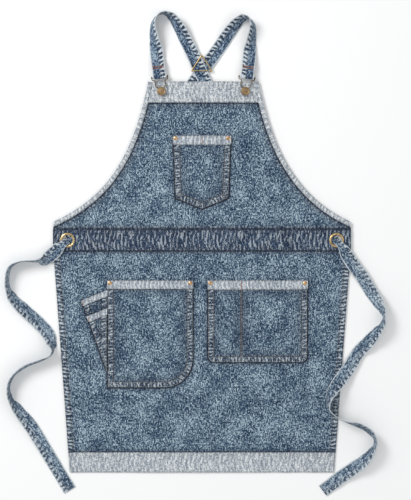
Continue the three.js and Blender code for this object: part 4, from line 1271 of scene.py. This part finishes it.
def make_buttons():
    cap, shank, bore, top, seat = CAP_RADIUS, SHANK_RADIUS, 1.6, CAP_LEVEL + 3.2, BAND_TOP + GAP
    profile = rounded([(0, CAP_LEVEL), (bore, CAP_LEVEL), (bore, seat), (shank, seat), (shank, CAP_LEVEL),
                       (cap, CAP_LEVEL), (cap, top - 1), (cap - 1.2, top), (cap - 2.1, top - 0.15),
                       (cap - 2.7, top - 0.55), (cap - 3.4, top - 0.35), (2.4, top - 0.1),
                       (0, top - 0.05)], 0.4)
    low, head, tip = BIB_LEVEL - GAP - 0.8, BIB_LEVEL - GAP, CAP_LEVEL - GAP
    tack = rounded([(0, low), (6, low), (6, head), (1.3, head), (1.3, tip), (0, tip)], 0.2)
    for name, side in SIDES.items():
        x, y = button_place(side)
        button = f"button_{name}"
        turned(f"button_cap_{name}", profile, x, y, ANTIQUE, "antique_brass", button, button, 64)
        turned(f"button_back_{name}", tack, x, y, ANTIQUE, "antique_brass", "root", f"button_tack_{name}")


def tube(piece, path, radius, shader, sides=14, closed=False, flatten=1.0, beads=None):
    """A round wire along a path of points, with domed ends unless it is closed."""
    path = np.asarray(path, float)
    ahead = (np.roll(path, -1, 0) - np.roll(path, 1, 0)) if closed else np.gradient(path, axis=0)
    ahead /= np.linalg.norm(ahead, axis=1, keepdims=True)
    side = np.cross(ahead, [0, 0, 1.0])
    weak = np.linalg.norm(side, axis=1) < 0.25
    carry = np.array([1.0, 0, 0])
    frames = []
    for along, first, loose in zip(ahead, side, weak):
        fresh = not loose if closed else not (loose or frames)
        carry = first if fresh else carry - along * (carry @ along)
        carry = carry / np.linalg.norm(carry)
        frames.append(carry)
    side = np.asarray(frames)
    up = np.cross(side, ahead)
    angles = np.linspace(0, 2 * math.pi, sides, endpoint=False)
    size = np.full(len(path), float(radius)) if beads is None else radius * beads
    wide = np.cos(angles)[None, :, None] * size[:, None, None]
    high = np.sin(angles)[None, :, None] * size[:, None, None] * flatten
    points = path[:, None] + side[:, None] * wide + up[:, None] * high
    rings = list(points)
    if not closed:
        for dome in (0.45, 0.92):
            out, narrow = radius * dome * 0.8, (1 - dome**2)**0.5
            rings.insert(0, path[0] - ahead[0] * out + (points[0] - path[0]) * narrow)
            rings.append(path[-1] + ahead[-1] * out + (points[-1] - path[-1]) * narrow)
    caps = [] if closed else end_caps(len(rings), sides)
    piece.add(rings, ring_faces(len(rings), sides, closed), shader, caps=caps)


def swung(points, side):
    """Places given from the middle of the hook's bar, with the hook swung outwards about its button."""
    points = np.asarray(points, float) + [0, BAR_Y - BUTTON_Y, WIRE_LEVEL]
    turn = -side * SWING
    x = points[:, 0] * math.cos(turn) - points[:, 1] * math.sin(turn)
    y = points[:, 0] * math.sin(turn) + points[:, 1] * math.cos(turn)
    bx, by = button_place(side)
    return np.column_stack([x + bx, y + by, points[:, 2]])


def make_hooks():
    coil = BAR_RADIUS + 0.4 + WIRE / 2
    bulb = CAP_RADIUS + 0.5 + WIRE / 2
    slot = SHANK_RADIUS + 0.4 + WIRE / 2
    slot_end = -(BAR_Y - BUTTON_Y)
    middle = -(LOOP_RADIUS + 0.5 + bulb)
    neck = math.asin(slot / bulb)
    coil_x = 19 - WIRE / 2
    shoulder = -(LOOP_RADIUS + GAP + WIRE / 2 + 0.8)
    half = [
        (coil_x + 0.4, 0.55 * coil, 0.84 * coil),
        (coil_x + 0.3, coil, 0),
        (coil_x + 0.1, 0.5 * coil, -0.87 * coil),
        (coil_x, -0.6 * coil, -0.8 * coil),
        (coil_x - 1, shoulder + 0.8, -0.4),
        (coil_x - 3.5, shoulder, 0),
        (bulb + 0.8, shoulder - 0.7, 0),
        (bulb, shoulder - 3.4, 0),
        (bulb, middle, 0),
        (bulb * 0.87, middle - bulb * 0.5, 0),
        (slot + 0.6, middle - bulb * math.cos(neck) + 0.6, 0),
        (slot, middle - bulb * math.cos(neck) - 2, 0),
        (slot, slot_end, 0),
        (slot * 0.7, slot_end - slot * 0.7, 0),
    ]
    points = [*half, (0, slot_end - slot, 0), *[(-x, y, z) for x, y, z in reversed(half)]]
    path = smooth_line(points, np.linspace(0, len(points) - 1, 200))
    for name, side in SIDES.items():
        hook = f"hook_{name}"
        wire = Piece()
        tube(wire, swung(path, side), WIRE / 2, BRONZE)
        wire.ride(hook, f"hook_wire_{name}", "bronze_wire", hook)
        bar = Piece()
        ends = [(x, 0, 0) for x in np.linspace(-18.4, 18.4, 12)]
        tube(bar, swung(ends, side), BAR_RADIUS, BRONZE)
        bar.ride(hook, f"hook_crossbar_{name}", "bronze_wire", f"hook_bar_{name}")


def make_ring():
    half, height, wire = 25, 39, 2.4
    front = CROSS_HIGH + STRAP_THICK + 2 * GAP + wire / 2
    inset = wire / 2
    slope = math.hypot(half, height)
    side_inset = inset * slope / height
    low = inset
    corner_x = half - side_inset - low * half / height
    peak = height - inset * slope / half
    corners = np.array([(-corner_x, low), (corner_x, low), (0, peak)])
    soft = 1.6
    loop, beads = [], []
    for index in range(3):
        a, b, c = corners[index - 1], corners[index], corners[(index + 1) % 3]
        start = b + (a - b) / np.linalg.norm(a - b) * soft
        end = b + (c - b) / np.linalg.norm(c - b) * soft
        for share in np.linspace(0, 1, 6):
            loop.append((1 - share)**2 * start + 2 * share * (1 - share) * b + share**2 * end)
            beads.append(1.0)
        following = c + (b - c) / np.linalg.norm(b - c) * soft
        count = 60
        for share in np.linspace(0, 1, count)[1:-1]:
            loop.append(mix(end, following, share))
            beads.append(1 + 0.13 * math.sin(share * 2 * math.pi * 13) if index == 1 else 1.0)
    loop = np.asarray(loop)
    piece = Piece()
    origin = np.array([-0.5, BIB_TOP + 23])
    for level, flatten in ((front, 1.0), (GAP + 0.45, 0.38)):
        path = np.column_stack([loop + origin, np.full(len(loop), level)])
        tube(piece, path, inset, BRASS, closed=True, flatten=flatten, beads=np.asarray(beads))
    for x, y in ((-half + 2.2, 1.2), (half - 2.2, 1.2), (0, height - 3.2)):
        post = [(x + origin[0], y + origin[1], level) for level in np.linspace(0.9, front - 0.4, 6)]
        tube(piece, post, 0.6, BRASS, sides=10)
    piece.ride("crossing_ring", "crossing_triangle", "brass", "crossing_ring")


make_rivets()
make_eyelets()
make_buttons()
make_hooks()
make_ring()


# ------------------------------------------------------------------ floor and light

def make_floor():
    mesh = bpy.data.meshes.new("floor")
    half = 6
    corners = [(-half, -half, 0), (half, -half, 0), (half, half, 0), (-half, half, 0)]
    mesh.from_pydata(corners, [], [(0, 1, 2, 3)])
    floor = bpy.data.objects.new("floor", mesh)
    bpy.context.scene.collection.objects.link(floor)
    s = Shader("floor")
    s.set(s.surface, {"Base Color": (0.9, 0.9, 0.895, 1), "Roughness": 0.9, "Specular IOR Level": 0.1})
    mesh.materials.append(s.material)


def area_light(name, place, size, power):
    data = bpy.data.lights.new(name, "AREA")
    data.shape = "DISK"
    data.size = size
    data.energy = power
    light = bpy.data.objects.new(name, data)
    light.location = place
    x, y, z = place
    light.rotation_euler = (math.atan2(math.hypot(x, y), z), 0, math.atan2(-x, y) + math.pi)
    bpy.context.scene.collection.objects.link(light)


def make_light():
    area_light("key", (-1.9, 1.5, 2.2), 1.3, 62)
    area_light("fill", (1.8, -1.2, 2.4), 2.4, 14)
    world = bpy.data.worlds.new("studio")
    world.use_nodes = True
    world.node_tree.nodes["Background"].inputs["Color"].default_value = (0.97, 0.985, 1, 1)
    world.node_tree.nodes["Background"].inputs["Strength"].default_value = 0.66
    bpy.context.scene.world = world
    bpy.context.scene.view_settings.view_transform = "Standard"


make_floor()
make_light()
